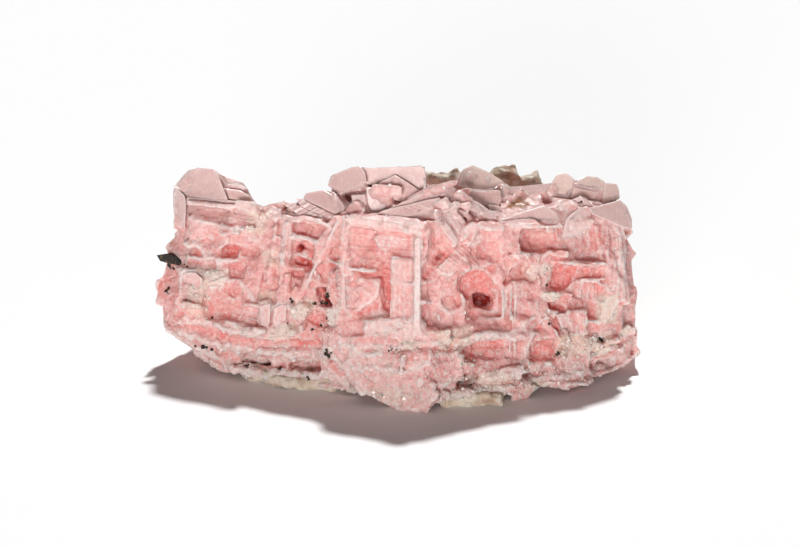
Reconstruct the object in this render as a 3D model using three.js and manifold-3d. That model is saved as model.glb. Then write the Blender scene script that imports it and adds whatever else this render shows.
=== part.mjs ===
// A cluster of pink halite, rock salt grown in hopper cubes, on a thin crust of tan, sugary salt.
// One solid holds every pink crystal, because they grew through one another. The crust that they
// stand on is a second solid, and a dark flake of clay, caught in the left side, is a third.
// Millimetres, +X to the right, +Y from the front to the back, +Z up.
import * as THREE from "three";
import { ConvexGeometry } from "three/addons/geometries/ConvexGeometry.js";
import { mergeVertices } from "three/addons/utils/BufferGeometryUtils.js";
import Module from "manifold-3d";

// ---------------------------------------------------------------- driving dimensions
const LOOK_DOWN = THREE.MathUtils.degToRad(18); // the front is laid out as seen from this far above
const EYE_AWAY = 900; // and from this far away
const AIM = { up: 34.3, back: 20, height: 29.6 }; // the point that it is looked at through
const PARTING = 0.35; // gap between pieces that touch
const CRUST_TOP = 3; // top of the crust under the crystals
const CRUST_FRONT = 51; // front of the crust behind the crystals
const CRUST_REAR = 54; // where the knobs on the back of the crust are centred
const KNOB = {
  columns: 7,
  rows: 3,
  span: 78, // from the first column to the last
  stagger: 4.5,
  lowest: 6,
  rise: 20, // from the first row to the last
  size: 11,
  wander: 2.5, // how far size and place stray
  flatness: 0.8, // depth of a knob as a share of its size
  sink: 1.2, // how deep a knob sits, and more towards the ends
  roundOff: 0.0016,
};
const TUMBLE = { lean: 40, tip: 20, face: 32 }; // how far the crust's knobs are turned at random
const CORNER_WEAR = 0.35; // how far a worn corner strays from a true cube's
const HOPPER_RIM = 1.1; // width of one step of a hopper face
const HOPPER_DROP = 0.8; // depth of one step of a hopper face
const PROW = 7; // where, across, the front stands furthest forward
const FALL_LEFT = 0.48; // how far the front falls back for each millimetre to the left of the prow
const FALL_RIGHT = 0.45; // and to the right
const FOOT_SHARE = 0.35; // share of that fall at the foot, because the sides lean back as they rise
const CROWN_UP = 50; // how far up the fall is whole
const REAR = 68; // depth that the fall leaves as it is
const PIT_MOUTH = { ahead: 4, spread: 1.1, narrowing: 0.82 }; // a pit tapers from its mouth inwards
const LEDGE_UNDERCUT = 0.35; // how far the lower edge of a ledge is set back, in thicknesses
const REAR_DRAW_IN = 0.08; // how far the rear of a lump draws in, as a share of its distance out
const TOP_FALL = 0.32; // how far a top lump falls for each step back
const FAR = 60; // reach of a cutting solid past the part

const wasm = await Module();
wasm.setup();

// ---------------------------------------------------------------- helpers
// A repeatable stream of numbers from -1 to 1, for wear.
function strayFrom(seed) {
  let state = seed >>> 0;
  return () => {
    state = (state + 0x6d2b79f5) >>> 0;
    let t = Math.imul(state ^ (state >>> 15), 1 | state);
    t = (t + Math.imul(t ^ (t >>> 7), 61 | t)) ^ t;
    return ((t ^ (t >>> 14)) >>> 0) / 2147483648 - 1;
  };
}
const stray = strayFrom(20240817);

// A closed three.js geometry as a solid that can be joined and cut.
function solid(geometry) {
  const bare = geometry.index ? geometry.toNonIndexed() : geometry.clone();
  bare.deleteAttribute("normal");
  bare.deleteAttribute("uv");
  const merged = mergeVertices(bare, 1e-4);
  return new wasm.Manifold(
    new wasm.Mesh({
      numProp: 3,
      vertProperties: new Float32Array(merged.attributes.position.array),
      triVerts: new Uint32Array(merged.index.array),
    }),
  );
}

const join = (solids) => solids.reduce((whole, next) => whole.add(next));
const cut = (whole, cutters) => cutters.reduce((left, next) => left.subtract(next), whole);

// The front is a wedge: it falls back on both sides of the prow, and more so further up.
function fallAt(across, up) {
  const aside = across - PROW;
  const rate = aside < 0 ? -FALL_LEFT : FALL_RIGHT;
  const share = FOOT_SHARE + (1 - FOOT_SHARE) * THREE.MathUtils.clamp(up / CROWN_UP, 0, 1);
  const rise = (aside * rate * (1 - FOOT_SHARE)) / CROWN_UP;
  return { back: aside * rate * share, slope: rate * share, rise };
}

// A point of the front: across, up as it shows from LOOK_DOWN above, and how far behind the wedge.
function at(across, up, behind) {
  const fall = fallAt(across, up).back;
  const back = fall + behind * (1 - fall / REAR);
  const [sin, cos] = [Math.sin(LOOK_DOWN), Math.cos(LOOK_DOWN)];
  const flatHeight = (up - back * sin) / cos;
  const away = 1 + ((back - AIM.back) * cos - (flatHeight - AIM.height) * sin) / EYE_AWAY;
  const height = (AIM.up + (up - AIM.up) * away - back * sin) / cos;
  return new THREE.Vector3(across * away, back, height);
}

// The turn of a crystal: lean to the right, tip forwards, and face to the right, in degrees.
function turn({ lean = 0, tip = 0, face = 0 }) {
  const rad = THREE.MathUtils.degToRad;
  return new THREE.Euler(rad(tip), rad(lean), rad(face), "ZXY");
}

// The same turn for a crystal seated on the wedge. An edge that runs across a face turned aside
// shows aslant, so a wide crystal leans by that much less.
function seated(across, up, wide, high, { lean = 0, tip = 0, face = 0 } = {}) {
  const deg = THREE.MathUtils.radToDeg;
  const { slope, rise } = fallAt(across, up);
  const slant = wide > high ? deg(Math.atan(slope * Math.sin(LOOK_DOWN))) : 0;
  return { lean: lean + slant, tip: tip - deg(Math.atan(rise)), face: face + deg(Math.atan(slope)) };
}
const widened = (across, up, wide) => wide * Math.hypot(1, fallAt(across, up).slope);

// A block from its eight corners, each strayed a little, with the front face centred on a point.
function block(centre, wide, high, deep, turned = {}, wear = CORNER_WEAR) {
  const move = new THREE.Matrix4().makeRotationFromEuler(turn(turned)).setPosition(centre);
  const corners = [];
  for (const x of [-1, 1])
    for (const y of [0, 1])
      for (const z of [-1, 1]) {
        const corner = new THREE.Vector3((x * wide) / 2, y * deep, (z * high) / 2);
        corner.add(new THREE.Vector3(stray(), stray(), stray()).multiplyScalar(wear));
        corners.push(corner.applyMatrix4(move));
      }
  return solid(new ConvexGeometry(corners));
}

const tumbled = () => ({
  lean: TUMBLE.lean * stray(),
  tip: TUMBLE.tip * stray(),
  face: TUMBLE.face * stray(),
});

// A crystal by where its front face shows: [across, up, back, wide, high, deep, turn].
const crystal = ([across, up, back, wide, high, deep, turned]) =>
  block(
    at(across, up, back),
    widened(across, up, wide),
    high,
    deep,
    seated(across, up, wide, high, turned),
  );

// A pit with tapering walls, by where its mouth shows: [across, up, back, wide, high, depth, turn].
function pit([across, up, back, wide, high, depth, turned]) {
  const move = new THREE.Matrix4()
    .makeRotationFromEuler(turn(seated(across, up, wide, high, turned)))
    .setPosition(at(across, up, back));
  const halfWide = widened(across, up, wide) / 2;
  const corners = [];
  for (const [y, size] of [[-PIT_MOUTH.ahead, PIT_MOUTH.spread], [depth, PIT_MOUTH.narrowing]])
    for (const x of [-1, 1])
      for (const z of [-1, 1]) {
        const corner = new THREE.Vector3(x * halfWide * size, y, (z * high * size) / 2);
        corners.push(corner.applyMatrix4(move));
      }
  return solid(new ConvexGeometry(corners));
}

// Nested square steps sunk in a face: rims of one width, each step one drop deeper.
function hopper([across, up, back, wide, high, steps, turned = {}]) {
  return Array.from({ length: steps }, (_, i) =>
    pit([
      across,
      up,
      back,
      wide - 2 * i * HOPPER_RIM,
      high - 2 * i * HOPPER_RIM,
      (i + 1) * HOPPER_DROP,
      turned,
    ]),
  );
}

// A lump: the hull of the front points [across, up, back] and the same points pushed back and down.
function lump(points, deep, fall = 0) {
  const front = points.map((p) => at(...p));
  const rear = front.map((p) =>
    p.clone().add(new THREE.Vector3(-REAR_DRAW_IN * p.x, deep, -fall * deep)),
  );
  return solid(new ConvexGeometry([...front, ...rear]));
}

// A ledge: a plate of one thickness behind a front edge given as points [across, up, back].
function ledge(edge, thick, deep) {
  const down = new THREE.Vector3(0, LEDGE_UNDERCUT * thick, -thick);
  const rear = new THREE.Vector3(0, deep, 0);
  const pieces = [];
  for (let i = 0; i + 1 < edge.length; i++) {
    const ends = [at(...edge[i]), at(...edge[i + 1])];
    const hull = ends.flatMap((p) => [
      p,
      p.clone().add(down),
      p.clone().add(rear),
      p.clone().add(rear).add(down),
    ]);
    pieces.push(solid(new ConvexGeometry(hull)));
  }
  return join(pieces);
}

// ---------------------------------------------------------------- the mass behind the faces
// Hulls that fill the part behind its front. Their corners are [across, up, back].
const masses = () =>
  [
    [
      [-53, 45, 17],
      [-30, 45, 13],
      [-51, 24, 18],
      [-30, 17, 13],
      [-50, 53, 29],
      [-30, 46.6, 27],
      [-51, 45, 51],
      [-26, 46.4, 51],
      [-50, 21, 51],
      [-26, 18, 51],
    ],
    [
      [-32, 45, 12.5],
      [12, 46, 7.5],
      [-32, 12, 13],
      [12, 5, 8],
      [-24, 49, 25],
      [-10, 55.6, 29],
      [8, 56, 30],
      [-26, 46.4, 51],
      [14, 53, 51],
      [-26, 17, 51],
      [14, 17, 51],
    ],
    [
      [8, 46, 8.5],
      [52, 45, 15],
      [8, 7, 9],
      [50, 15, 15],
      [14, 56, 30],
      [23, 56.4, 33],
      [46, 53, 30],
      [53, 49, 30],
      [12, 53, 51],
      [50, 45, 51],
      [12, 17, 51],
      [48, 19, 51],
    ],
  ].map((corners) => solid(new ConvexGeometry(corners.map((p) => at(...p)))));

// ---------------------------------------------------------------- left: a tall block under a shelf
const leftCrystals = [
  [-44, 35.6, 11, 20, 31, 12, { lean: 6 }], // the block itself
  [-44.3, 51.4, 9.8, 18, 1.7, 5, { lean: 7 }], // shelf along its top
  [-49.5, 31, 9.6, 11.5, 9, 14, { lean: 5 }], // cube low on its left
  [-34, 24, 9.2, 2.6, 7, 8, { lean: 4 }], // upright bars at its foot
  [-29.8, 24, 9.6, 4.2, 6.5, 8, { lean: -3 }],
  [-25, 25.2, 9.8, 5.2, 4.4, 8, { lean: 12 }],
  [-55, 33, 22, 9, 15, 18, { lean: 4, face: -12 }], // flank
  [-56.5, 30.5, 25, 7, 7, 14, { lean: 12, face: -26 }],
  [-53.5, 41, 20, 8, 10, 16, { lean: 38, face: -16 }],
  [-55.5, 25, 25, 7, 8, 14, { lean: -14, face: -20 }],
  [-48, 21.5, 14, 14, 8, 18, { lean: 14 }], // foot
  [-38, 20.5, 12.5, 16, 6, 18, { lean: 6 }],
  [-26, 20.5, 11, 13, 7, 18, { lean: 2 }],
];
const leftPits = [
  [-44, 48.9, 9.8, 15.5, 3.6, 2.0, { lean: 7 }], // hollow under the shelf
  [-42, 40, 10.8, 4.2, 3.4, 3.4, { lean: 6 }],
  [-37.4, 39.8, 10, 4.4, 2.4, 2.6, { lean: 8 }],
  [-51, 39.8, 11.4, 3.2, 1.7, 2.4, { lean: 5 }],
  [-49, 36.7, 11.2, 6.6, 2, 1.8, { lean: 4 }],
  [-40.5, 35, 10.6, 4.6, 4.4, 2.6, { lean: 2 }],
  [-40, 29.3, 10.6, 3.4, 2.8, 1.8, { lean: 4 }],
  [-37, 24.2, 10.4, 3.6, 4.6, 1.8, { lean: 10 }],
];
const leftHoppers = [
  [-44, 44, 10.6, 15.5, 5, 1, { lean: 7 }],
  [-43.6, 26.8, 10.9, 10.5, 9.5, 2, { lean: 5 }],
];
const leftInlays = [
  [-43.4, 26.8, 10.8, 5.4, 5, 5, { lean: 5 }], // boss left standing in the hopper
  [-44, 46.6, 10, 16, 0.9, 6, { lean: 7 }], // thin ridges
  [-45.5, 38.2, 10.2, 13.5, 0.9, 5, { lean: 2 }],
  [-43.8, 36.6, 10.2, 0.9, 4, 4, { lean: 3 }],
];

// ---------------------------------------------------------------- top left: a blunt crystal, plates
const topLeftLumps = () => [
  lump(
    [
      [-56, 56.5, 18],
      [-56, 47, 19],
      [-52, 60.4, 19],
      [-46.5, 60.6, 19],
      [-42.6, 56, 18],
      [-41.6, 49, 17],
      [-52, 43, 19],
    ],
    13,
    TOP_FALL,
  ),
];
const topLeftCrystals = [
  [-42.8, 55.2, 21, 8, 3, 6, { lean: 16 }],
  [-41.2, 53.2, 18.6, 10.6, 2.2, 6, { lean: 13 }],
  [-39.6, 51.2, 16, 9.8, 2.2, 6, { lean: 12 }],
  [-36.4, 47.4, 14, 8, 3, 6, { lean: 4 }],
];

// ---------------------------------------------------------------- left of centre: a lattice of bars
const latticeCrystals = [
  [-27, 33.2, 12.5, 18, 26, 9, { lean: 4 }],
  [-28.2, 37.6, 9.6, 2, 22, 5, { lean: 3.5 }], // uprights
  [-31.4, 40, 10.4, 1.6, 18, 6, { lean: 2 }],
  [-20.6, 38, 9.4, 2.4, 24, 8, { lean: 24 }], // slanted bars
  [-18, 36.5, 9.8, 2, 20, 8, { lean: 23 }],
  [-15.8, 42.5, 8.6, 1.8, 10, 8, { lean: 26 }],
  [-24.5, 47.6, 10, 9.5, 1.6, 8, { lean: 12 }], // rungs
  [-24.3, 43.4, 10, 8.6, 0.9, 7, { lean: 12 }],
  [-24.6, 39.2, 9.4, 10.5, 0.8, 7, { lean: 3 }],
  [-25.2, 35.8, 10.4, 7.5, 1.2, 6, { lean: 17 }],
];
const latticePits = [
  [-25, 45.4, 10.6, 6.2, 3.2, 3.4, { lean: 10 }],
  [-25.4, 41.3, 10.6, 2.8, 2.8, 7, { lean: 3 }],
  [-22.8, 41.4, 10.6, 2.8, 3, 3.6, { lean: 8 }],
  [-24.8, 37.4, 10.6, 5.2, 3.4, 8, { lean: 16 }],
  [-26, 33.2, 10.8, 4.6, 3.4, 3, { lean: 20 }],
  [-16.2, 39.2, 9.6, 2.6, 3.2, 4.6, { lean: 30 }],
  [-18.6, 28.4, 10.2, 4, 5.4, 7, { lean: -6 }],
  [-20.6, 23.2, 10, 4.6, 3.6, 3.6, { lean: 20 }],
  [-30.4, 27.8, 11.4, 1.8, 2, 3, { lean: 12 }],
  [-26.6, 27.8, 11.2, 2.4, 2, 3, { lean: 30 }],
];
const slantedPlates = [
  [-24.5, 47.2, 11, 18.4, 1.8, 8, { lean: 15 }],
  [-21.6, 49.2, 14.5, 12.6, 1.6, 7, { lean: 20 }],
  [-31.2, 48, 18, 8.4, 2.2, 6, { lean: 4 }],
  [-20.8, 51.6, 18.5, 5.6, 3.8, 6, { lean: 8, face: -14 }],
  [-16.6, 50.8, 15, 5.4, 5.6, 6, { lean: 32, face: 8 }],
  [-12, 49.4, 12, 5, 4.6, 7, { lean: -30 }],
];

// ---------------------------------------------------------------- centre: the great hopper cube
const centreCrystals = [
  [-4.4, 32.6, 4.2, 22, 29, 12, { lean: 2 }],
  [-3.8, 46.6, 2.8, 19, 2.4, 6, { lean: 7 }], // top rim
  [-13.8, 40.5, 3.6, 2.4, 13, 8, { lean: 4 }], // left rim
  [4.6, 31.4, 3.2, 2.1, 25, 8, { lean: 1 }], // right rim
  [-14.6, 30.4, 4.6, 3.4, 10.5, 6, { lean: 3 }],
  [-1, 20.8, 2.8, 15.6, 5.2, 10, { lean: 1 }], // foot
];
const centrePits = [
  [-4.6, 34.6, 4.2, 16.4, 23, 2.6, { lean: 2 }],
  [-5.2, 29.6, 5, 9, 12.4, 5, { lean: 1 }],
  [-12.4, 30.4, 4.6, 1, 10, 2.2, { lean: 4 }],
  [7, 30.2, 5, 3.2, 4.4, 4.4],
  [7.3, 24, 5, 3.9, 6.6, 4],
  [7.6, 37, 5, 3.4, 6, 3, { lean: 20 }],
];
const centreInlays = [
  [1.2, 31, 4.9, 5.4, 17.6, 8, { lean: 1 }], // column inside the right rim
  [-1.8, 42.4, 5, 7.4, 3.2, 6, { lean: -4 }],
  [-4.4, 38.6, 5.8, 15, 4, 6, { lean: -3 }],
  [-8.6, 29, 5.8, 8.4, 8.6, 8, { lean: -2 }], // terraced boss
  [-8.8, 28.8, 5.1, 5.8, 6, 8, { lean: 1 }],
  [-8.9, 28.6, 4.5, 3.2, 3.4, 8, { lean: 6 }],
  [-10.4, 35.4, 3.8, 8, 0.8, 6, { lean: 12 }],
];

// ---------------------------------------------------------------- top: cubes and plates
const topCrystals = [
  [-13.2, 57.2, 20, 8.2, 5, 5, { lean: -13, face: 6 }],
  [-1.4, 56.6, 24, 15.8, 6, 5, { lean: -1, face: -3 }],
  [1, 54.4, 20.5, 8, 5.4, 5, { lean: 36, tip: -10 }],
  [-9.6, 52.4, 15.6, 4.6, 3.4, 5, { lean: -3 }],
  [-4.6, 52.6, 14, 4.8, 5.8, 6, { lean: -14, face: 12 }],
  [-7, 48.6, 12, 14, 2.4, 8, { lean: 4 }],
  [5.2, 52.6, 12.4, 17, 2.8, 6, { lean: -24, face: 8 }], // long plate to a peak
  [4, 49.6, 10, 16, 2.8, 7, { lean: -12, face: 4 }],
  [12.8, 53, 12, 3.6, 6, 6, { lean: 22, face: 34 }],
  [19.6, 50.8, 11, 12.6, 2.2, 6, { lean: 34, face: 8 }],
  [17.2, 48.8, 9.2, 12, 2, 6, { lean: 31, face: 6 }],
  [11.4, 49.2, 8, 8, 2.2, 6, { lean: -30 }],
  [11.8, 45.6, 6.6, 9.4, 1.8, 6, { lean: 56 }],
  [8, 45.6, 5.8, 5, 2, 6, { lean: -40 }],
  [21, 54.2, 27, 12.4, 6.8, 6, { lean: 29, tip: -6, face: 8 }], // leaning cube
  [26.2, 54.8, 24.8, 3.2, 3, 4, { lean: 28 }],
  [30.6, 53, 26, 4, 3.6, 4, { lean: 31, face: 12 }],
  [24.2, 50.6, 24.6, 3.8, 2.6, 5, { lean: 6 }],
  [27.4, 52, 24.6, 3.6, 3, 5, { lean: 20 }],
  [14, 50.6, 22, 8, 5, 8, { lean: -20, face: 10 }], // low ones between them
  [33, 48.4, 24, 8, 4, 8, { lean: 12, face: -14 }],
];

// ---------------------------------------------------------------- right of centre: a pierced hopper
const pierced = [
  [21, 32, 8.2, 28, 28.6, 12, { lean: 1 }],
  [13, 37.2, 6.8, 11.5, 3, 8, { lean: -41 }],
  [16, 33.6, 7.2, 8, 2.4, 8, { lean: -48 }],
  [24.4, 36, 7.4, 8, 2, 8, { lean: 48 }],
  [21.8, 46, 6.8, 9, 1.4, 6, { lean: 5 }],
  [17.4, 44, 6.4, 4, 4.6, 8, { lean: 42 }],
  [27, 43, 8, 8, 7, 10, { lean: -6 }],
];
const piercedHoppers = [
  [22.6, 26.6, 8.2, 13.5, 11.6, 3, { lean: 1 }],
  [22.2, 39.8, 8.2, 6.4, 5.6, 2, { lean: 2 }],
];
const piercedPits = [
  [19.4, 32.8, 8.2, 9.4, 7.4, 3],
  [21.4, 27, 8.6, 5.6, 3.8, 9, { lean: 6 }],
  [13.4, 27, 8, 5, 4, 1.8, { lean: -20 }],
  [27.2, 32.4, 8.2, 0.9, 3.6, 3, { lean: 32 }],
  [10.4, 38.8, 7, 2.6, 2, 3, { lean: -36 }],
];

// ---------------------------------------------------------------- right: ledges, bars and cubes
const rightCrystals = [
  [42.4, 30.2, 11.4, 30, 25.6, 12, { face: 10 }],
  [51, 36.6, 12.2, 1.6, 20, 6, { lean: -6 }], // upright bars
  [53, 37, 12.4, 2.2, 21, 6, { lean: -5 }],
  [55.4, 36.8, 13.6, 1.8, 20, 7, { lean: -3, face: 6 }],
  [49, 42, 13.4, 1.4, 12, 6, { lean: -8 }],
  [55.6, 33.6, 20, 8, 12, 10, { lean: 6, face: 30 }], // flank
  [55.6, 39.6, 22, 7, 7, 9, { lean: -22, face: 26 }],
  [56, 28.6, 22, 8, 8, 10, { lean: 24, face: 26 }],
  [55.4, 21.6, 22, 8, 8, 10, { lean: 8, face: 12 }],
  [55, 16.4, 22, 8, 5, 10, { lean: -18, face: 20 }],
  [50.6, 48.6, 15, 12, 4.6, 8, { lean: 8 }], // shoulder
  [54.8, 46, 21, 6, 8, 8, { lean: -24, face: 12 }],
  [40.4, 55.2, 24, 5.8, 5.2, 4, { lean: 22, face: -8 }], // cubes on top
  [47.4, 54, 23, 7.6, 5.2, 5, { lean: 9 }],
  [52.4, 53.4, 24, 4.2, 4, 5, { lean: 3 }],
  [45, 50.6, 19, 13, 4, 8, { lean: 4 }],
  [44.6, 48.4, 12.6, 5.6, 7.6, 6, { lean: 16, face: 12 }],
  [45.6, 47.8, 11.6, 4.8, 6, 5, { lean: 8 }],
  [43.8, 22, 8.6, 6, 6.2, 10, { lean: 1, face: 4 }], // cube in the lower middle
  [33, 39.2, 9.6, 8.6, 1.8, 8, { lean: 2 }], // ledges
  [44.4, 37, 9.8, 15.4, 1, 8, { lean: 1 }],
  [47, 33, 9.8, 9.6, 1, 8, { lean: -6 }],
  [40, 29.2, 9.6, 7, 1, 6],
  [38, 43, 9.8, 4, 3, 8, { lean: 40 }],
];
const rightLumps = () => [
  lump(
    [
      [25.4, 47.8, 14], [36, 51.2, 15], [40.5, 51.8, 16], [41, 46, 12], [29, 46.6, 12],
    ],
    12, TOP_FALL,
  ),
];
const rightPits = [
  [34.6, 42.6, 11, 10.6, 5.2, 3.6, { lean: 2 }],
  [31.2, 34.8, 10.4, 6.2, 4.2, 3],
  [40, 33, 10.6, 7.2, 6.6, 3.6],
  [39.2, 26.4, 10.6, 4.2, 3.4, 7],
  [48.4, 25, 11.8, 4.2, 4.6, 3.8, { lean: 16 }],
  [39.8, 21.6, 10.6, 3, 4.2, 5, { lean: -30 }],
  [50.6, 18.6, 12.4, 3, 2.6, 5],
  [43.6, 45.8, 12, 1.6, 3.4, 3, { lean: 16 }],
  [48, 43, 12, 3, 7, 3, { lean: -14 }],
];

// ---------------------------------------------------------------- foot: a blunt keel and ragged ledges
const keel = () => [
  lump(
    [
      [-19.2, 20, 6.5],
      [-19.4, 17, 6.5],
      [-13.6, 11, 5],
      [-11.4, 7, 4.4],
      [-4, 2.2, 2.6],
      [-0.5, 0.3, 1.4],
      [6.5, 0.3, 1.4],
      [9.6, 3.4, 2.4],
      [13, 8, 4],
      [16, 15, 4.4],
      [6, 15, 1.2],
      [-7, 14, 1.8],
    ],
    18,
  ),
  lump(
    [
      [-19, 20, 6], [-18, 16, 5], [-12, 14, 3.6], [3, 14, 2.4], [12, 18, 3.4], [8, 22, 3.6],
      [-12, 23, 4.6],
    ],
    16,
  ),
  lump(
    [
      [9, 6, 4], [13, 4.2, 5], [30, 5, 6.5], [47, 8.4, 12], [48, 22, 12], [30, 24, 9],
      [10, 20, 6],
    ],
    16,
  ),
  lump(
    [
      [-57.4, 25, 22], [-58.4, 21.6, 24], [-55, 17.6, 20], [-47, 13.6, 18], [-42, 20, 15],
      [-48, 26, 15], [-55, 28, 19],
    ],
    16,
  ),
  lump(
    [
      [-44, 11, 18], [-30, 8.5, 15], [-12, 5.4, 9.5], [-12, 12, 9], [-26, 14, 13], [-44, 17, 18],
    ],
    16,
  ),
  lump([[-52, 21, 22], [-52.6, 16, 23], [-44, 12, 19], [-36, 11, 17], [-36, 19, 16]], 14),
  lump([[46, 11, 15], [53, 12.4, 19], [58, 16, 22], [58, 22, 22], [46, 20, 14]], 14),
];
// Small cubes and knobs on the keel and along the foot, laid out as the crystals are.
const footCrystals = [
  [-15, 17.6, 4, 6.4, 3.4, 8, { lean: 14, face: -12 }],
  [-9.4, 17.4, 3, 5, 3, 8, { lean: -10 }],
  [-3, 17.2, 2.6, 5.6, 2.6, 8, { lean: 18, face: 10 }],
  [1.4, 17.6, 2.6, 4.6, 3.4, 8, { lean: -14 }],
  [-12.6, 11.6, 4, 4.4, 3.6, 8, { lean: 34, face: -20 }],
  [-7.4, 10.4, 2.2, 5.6, 4.4, 8, { lean: 26, face: -8 }],
  [-1.6, 8.6, 1.2, 4.6, 4, 8, { lean: -24, face: 6 }],
  [3.4, 10.6, 0.9, 5.4, 4.2, 8, { lean: 12, face: 4 }],
  [6.4, 6.4, 1, 3.6, 4.6, 8, { lean: 30 }],
  [8.8, 11.8, 2, 4.2, 3.6, 8, { lean: -22, face: 14 }],
  [0.6, 4, 1, 4.4, 3, 8, { lean: 8 }],
  [-4.8, 5, 2, 4, 2.6, 8, { lean: 40, face: -10 }],
  [16.8, 10.4, 3.6, 4, 5.2, 8, { lean: 16, face: 8 }],
  [25, 9, 5, 5.4, 3.6, 8, { lean: -12 }],
  [40, 9.6, 9, 6.4, 5, 8, { lean: 18, face: 14 }],
  [45, 12.4, 11, 4.6, 5.4, 8, { lean: 36, face: 16 }],
  [-52, 23.4, 18, 5, 4, 8, { lean: 22, face: -30 }],
  [-46.4, 25.4, 14.4, 4, 3.4, 8, { lean: -20 }],
  [-33.6, 19.4, 11.6, 4, 3.4, 8, { lean: 10 }],
];
const ledges = () => [
  ledge(
    [
      [-50.6, 17.4, 18], [-40, 17, 13.4], [-34, 15.4, 12], [-26, 14.6, 11], [-18, 14.2, 9.4],
    ],
    1.3, 12,
  ),
  ledge(
    [
      [-51, 15.4, 20], [-43.6, 10.8, 17], [-32, 10, 13.4], [-26, 8.4, 12], [-18, 6.8, 10],
      [-10, 5.4, 8],
    ],
    1.5, 14,
  ),
  ledge([[12, 15.4, 6], [16, 18.4, 4.6], [21, 20, 5], [34, 20, 7.4]], 1.4, 10),
  ledge(
    [
      [10, 4.4, 5], [18, 5.6, 3.6], [27, 5, 4.4], [36, 8, 6.6], [42, 6.8, 7.4], [48, 8.8, 11],
    ],
    1.7, 14,
  ),
  ledge([[47, 16.6, 13], [52, 18, 13], [58, 21, 18]], 1.5, 12),
  ledge([[48, 12.6, 14], [53.6, 16, 15], [56.2, 16.4, 17]], 1, 12),
  ledge([[47.6, 9.2, 15], [54, 11, 17], [59.8, 15, 22]], 1.2, 14),
];
const footPits = [
  [-30, 16, 13, 20, 1.6, 4, { lean: 4 }],
  [-36, 13, 16, 9, 2.2, 3.4, { lean: 4 }],
  [-23.4, 11.4, 13, 9, 3.4, 4, { lean: 4 }],
  [22.6, 15.6, 7, 16, 5.2, 5, { lean: 1 }],
  [35.6, 15.4, 9.6, 7, 5.6, 4, { lean: -4 }],
  [33.8, 9.6, 7.6, 6.4, 4, 5, { lean: -8 }],
  [17, 8, 5.4, 6, 3.4, 6, { lean: -18 }],
  [52, 13.4, 17, 7, 2, 3.4, { lean: -20 }],
];
const footInlays = [
  [15.6, 13, 6.6, 2.4, 3.8, 6, { lean: 8 }],
  [25.6, 13.6, 9, 7, 4.4, 6, { lean: -6 }],
];

// ---------------------------------------------------------------- hidden top, sides and back
// Rows of cubes behind the front ones and down both ends, laid out as the crystals are.
const rearCrystals = [
  [-47.6, 49.6, 31, 9, 9, 9, { lean: 14, face: 20 }],
  [-40, 46.4, 32, 9, 8, 9, { lean: -8, face: -16 }],
  [-32, 42.6, 28, 8, 8, 9, { lean: 16, face: 30 }],
  [-25, 43.4, 33, 9, 8, 9, { lean: 6, face: 14 }],
  [-19, 45.4, 27, 8, 9, 9, { lean: -12, face: -24 }],
  [-11, 49.6, 35, 11, 8, 9, { lean: 10, face: 34 }],
  [-2, 50, 37, 12, 8, 9, { lean: 4, face: 12 }],
  [6, 49.6, 33, 9, 8, 9, { lean: -16, face: 28 }],
  [12, 47.6, 37, 8, 8, 8, { lean: 12, face: -18 }],
  [21, 49.6, 38, 9, 8, 9, { lean: -16, face: 40 }],
  [31, 45, 33, 11, 7, 9, { lean: 8, face: 16 }],
  [41.4, 47.4, 37, 10, 9, 9, { lean: -10, face: 34 }],
  [49.4, 46.6, 34, 9, 9, 9, { lean: 14, face: -12 }],
  [-52.4, 39.6, 34, 7, 10, 9, { lean: 8, face: -60 }],
  [-52.6, 31, 33, 8, 9, 9, { lean: -14, face: -52 }],
  [-50.6, 25, 34, 8, 8, 9, { lean: 12, face: -70 }],
  [53, 40, 31, 8, 9, 9, { lean: -14, face: 66 }],
  [53.6, 31, 32, 8, 9, 9, { lean: 10, face: 60 }],
  [51.6, 23.6, 32, 9, 8, 9, { lean: -8, face: 72 }],
];

// ---------------------------------------------------------------- the crust
// Its outline under the crystals, [x, y] from the back left round the front.
const crustPlan = [
  [-45, 54],
  [-46, 34],
  [-41, 26],
  [-31, 19],
  [-22, 16.6],
  [-12, 16],
  [3, 15],
  [11, 4.6],
  [26, 5],
  [30, 17],
  [38, 26],
  [46, 34],
  [44, 54],
];
// Where the wall of crust behind the crystals starts, [x, how far off CRUST_FRONT].
const crustSeam = [
  [-62, -3],
  [-47, 1.4],
  [-36, -1.6],
  [-23, 1.8],
  [-9, -0.8],
  [3, 1.6],
  [15, -1.8],
  [27, 0.8],
  [39, -2.4],
  [62, -0.6],
];
// The room that only the crust takes: a floor, and a wall behind. grow widens it on every side.
function crustRoom(grow) {
  const centre = new THREE.Vector2(0, 34);
  const plan = crustPlan.map(([x, y]) => {
    const p = new THREE.Vector2(x, y);
    return p.clone().add(p.clone().sub(centre).normalize().multiplyScalar(grow * 1.5));
  });
  const slab = new THREE.ExtrudeGeometry(new THREE.Shape(plan), {
    depth: FAR + CRUST_TOP + grow,
    bevelEnabled: false,
  }).translate(0, 0, -FAR);
  const seam = crustSeam.map(([x, off]) => new THREE.Vector2(x, CRUST_FRONT + off - grow * 1.2));
  const behind = [new THREE.Vector2(2 * FAR, 2 * FAR), new THREE.Vector2(-2 * FAR, 2 * FAR)];
  const wall = new THREE.ExtrudeGeometry(new THREE.Shape([...seam, ...behind]), {
    depth: 2 * FAR,
    bevelEnabled: false,
  }).translate(0, 0, -FAR);
  return solid(slab).add(solid(wall));
}

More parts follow.
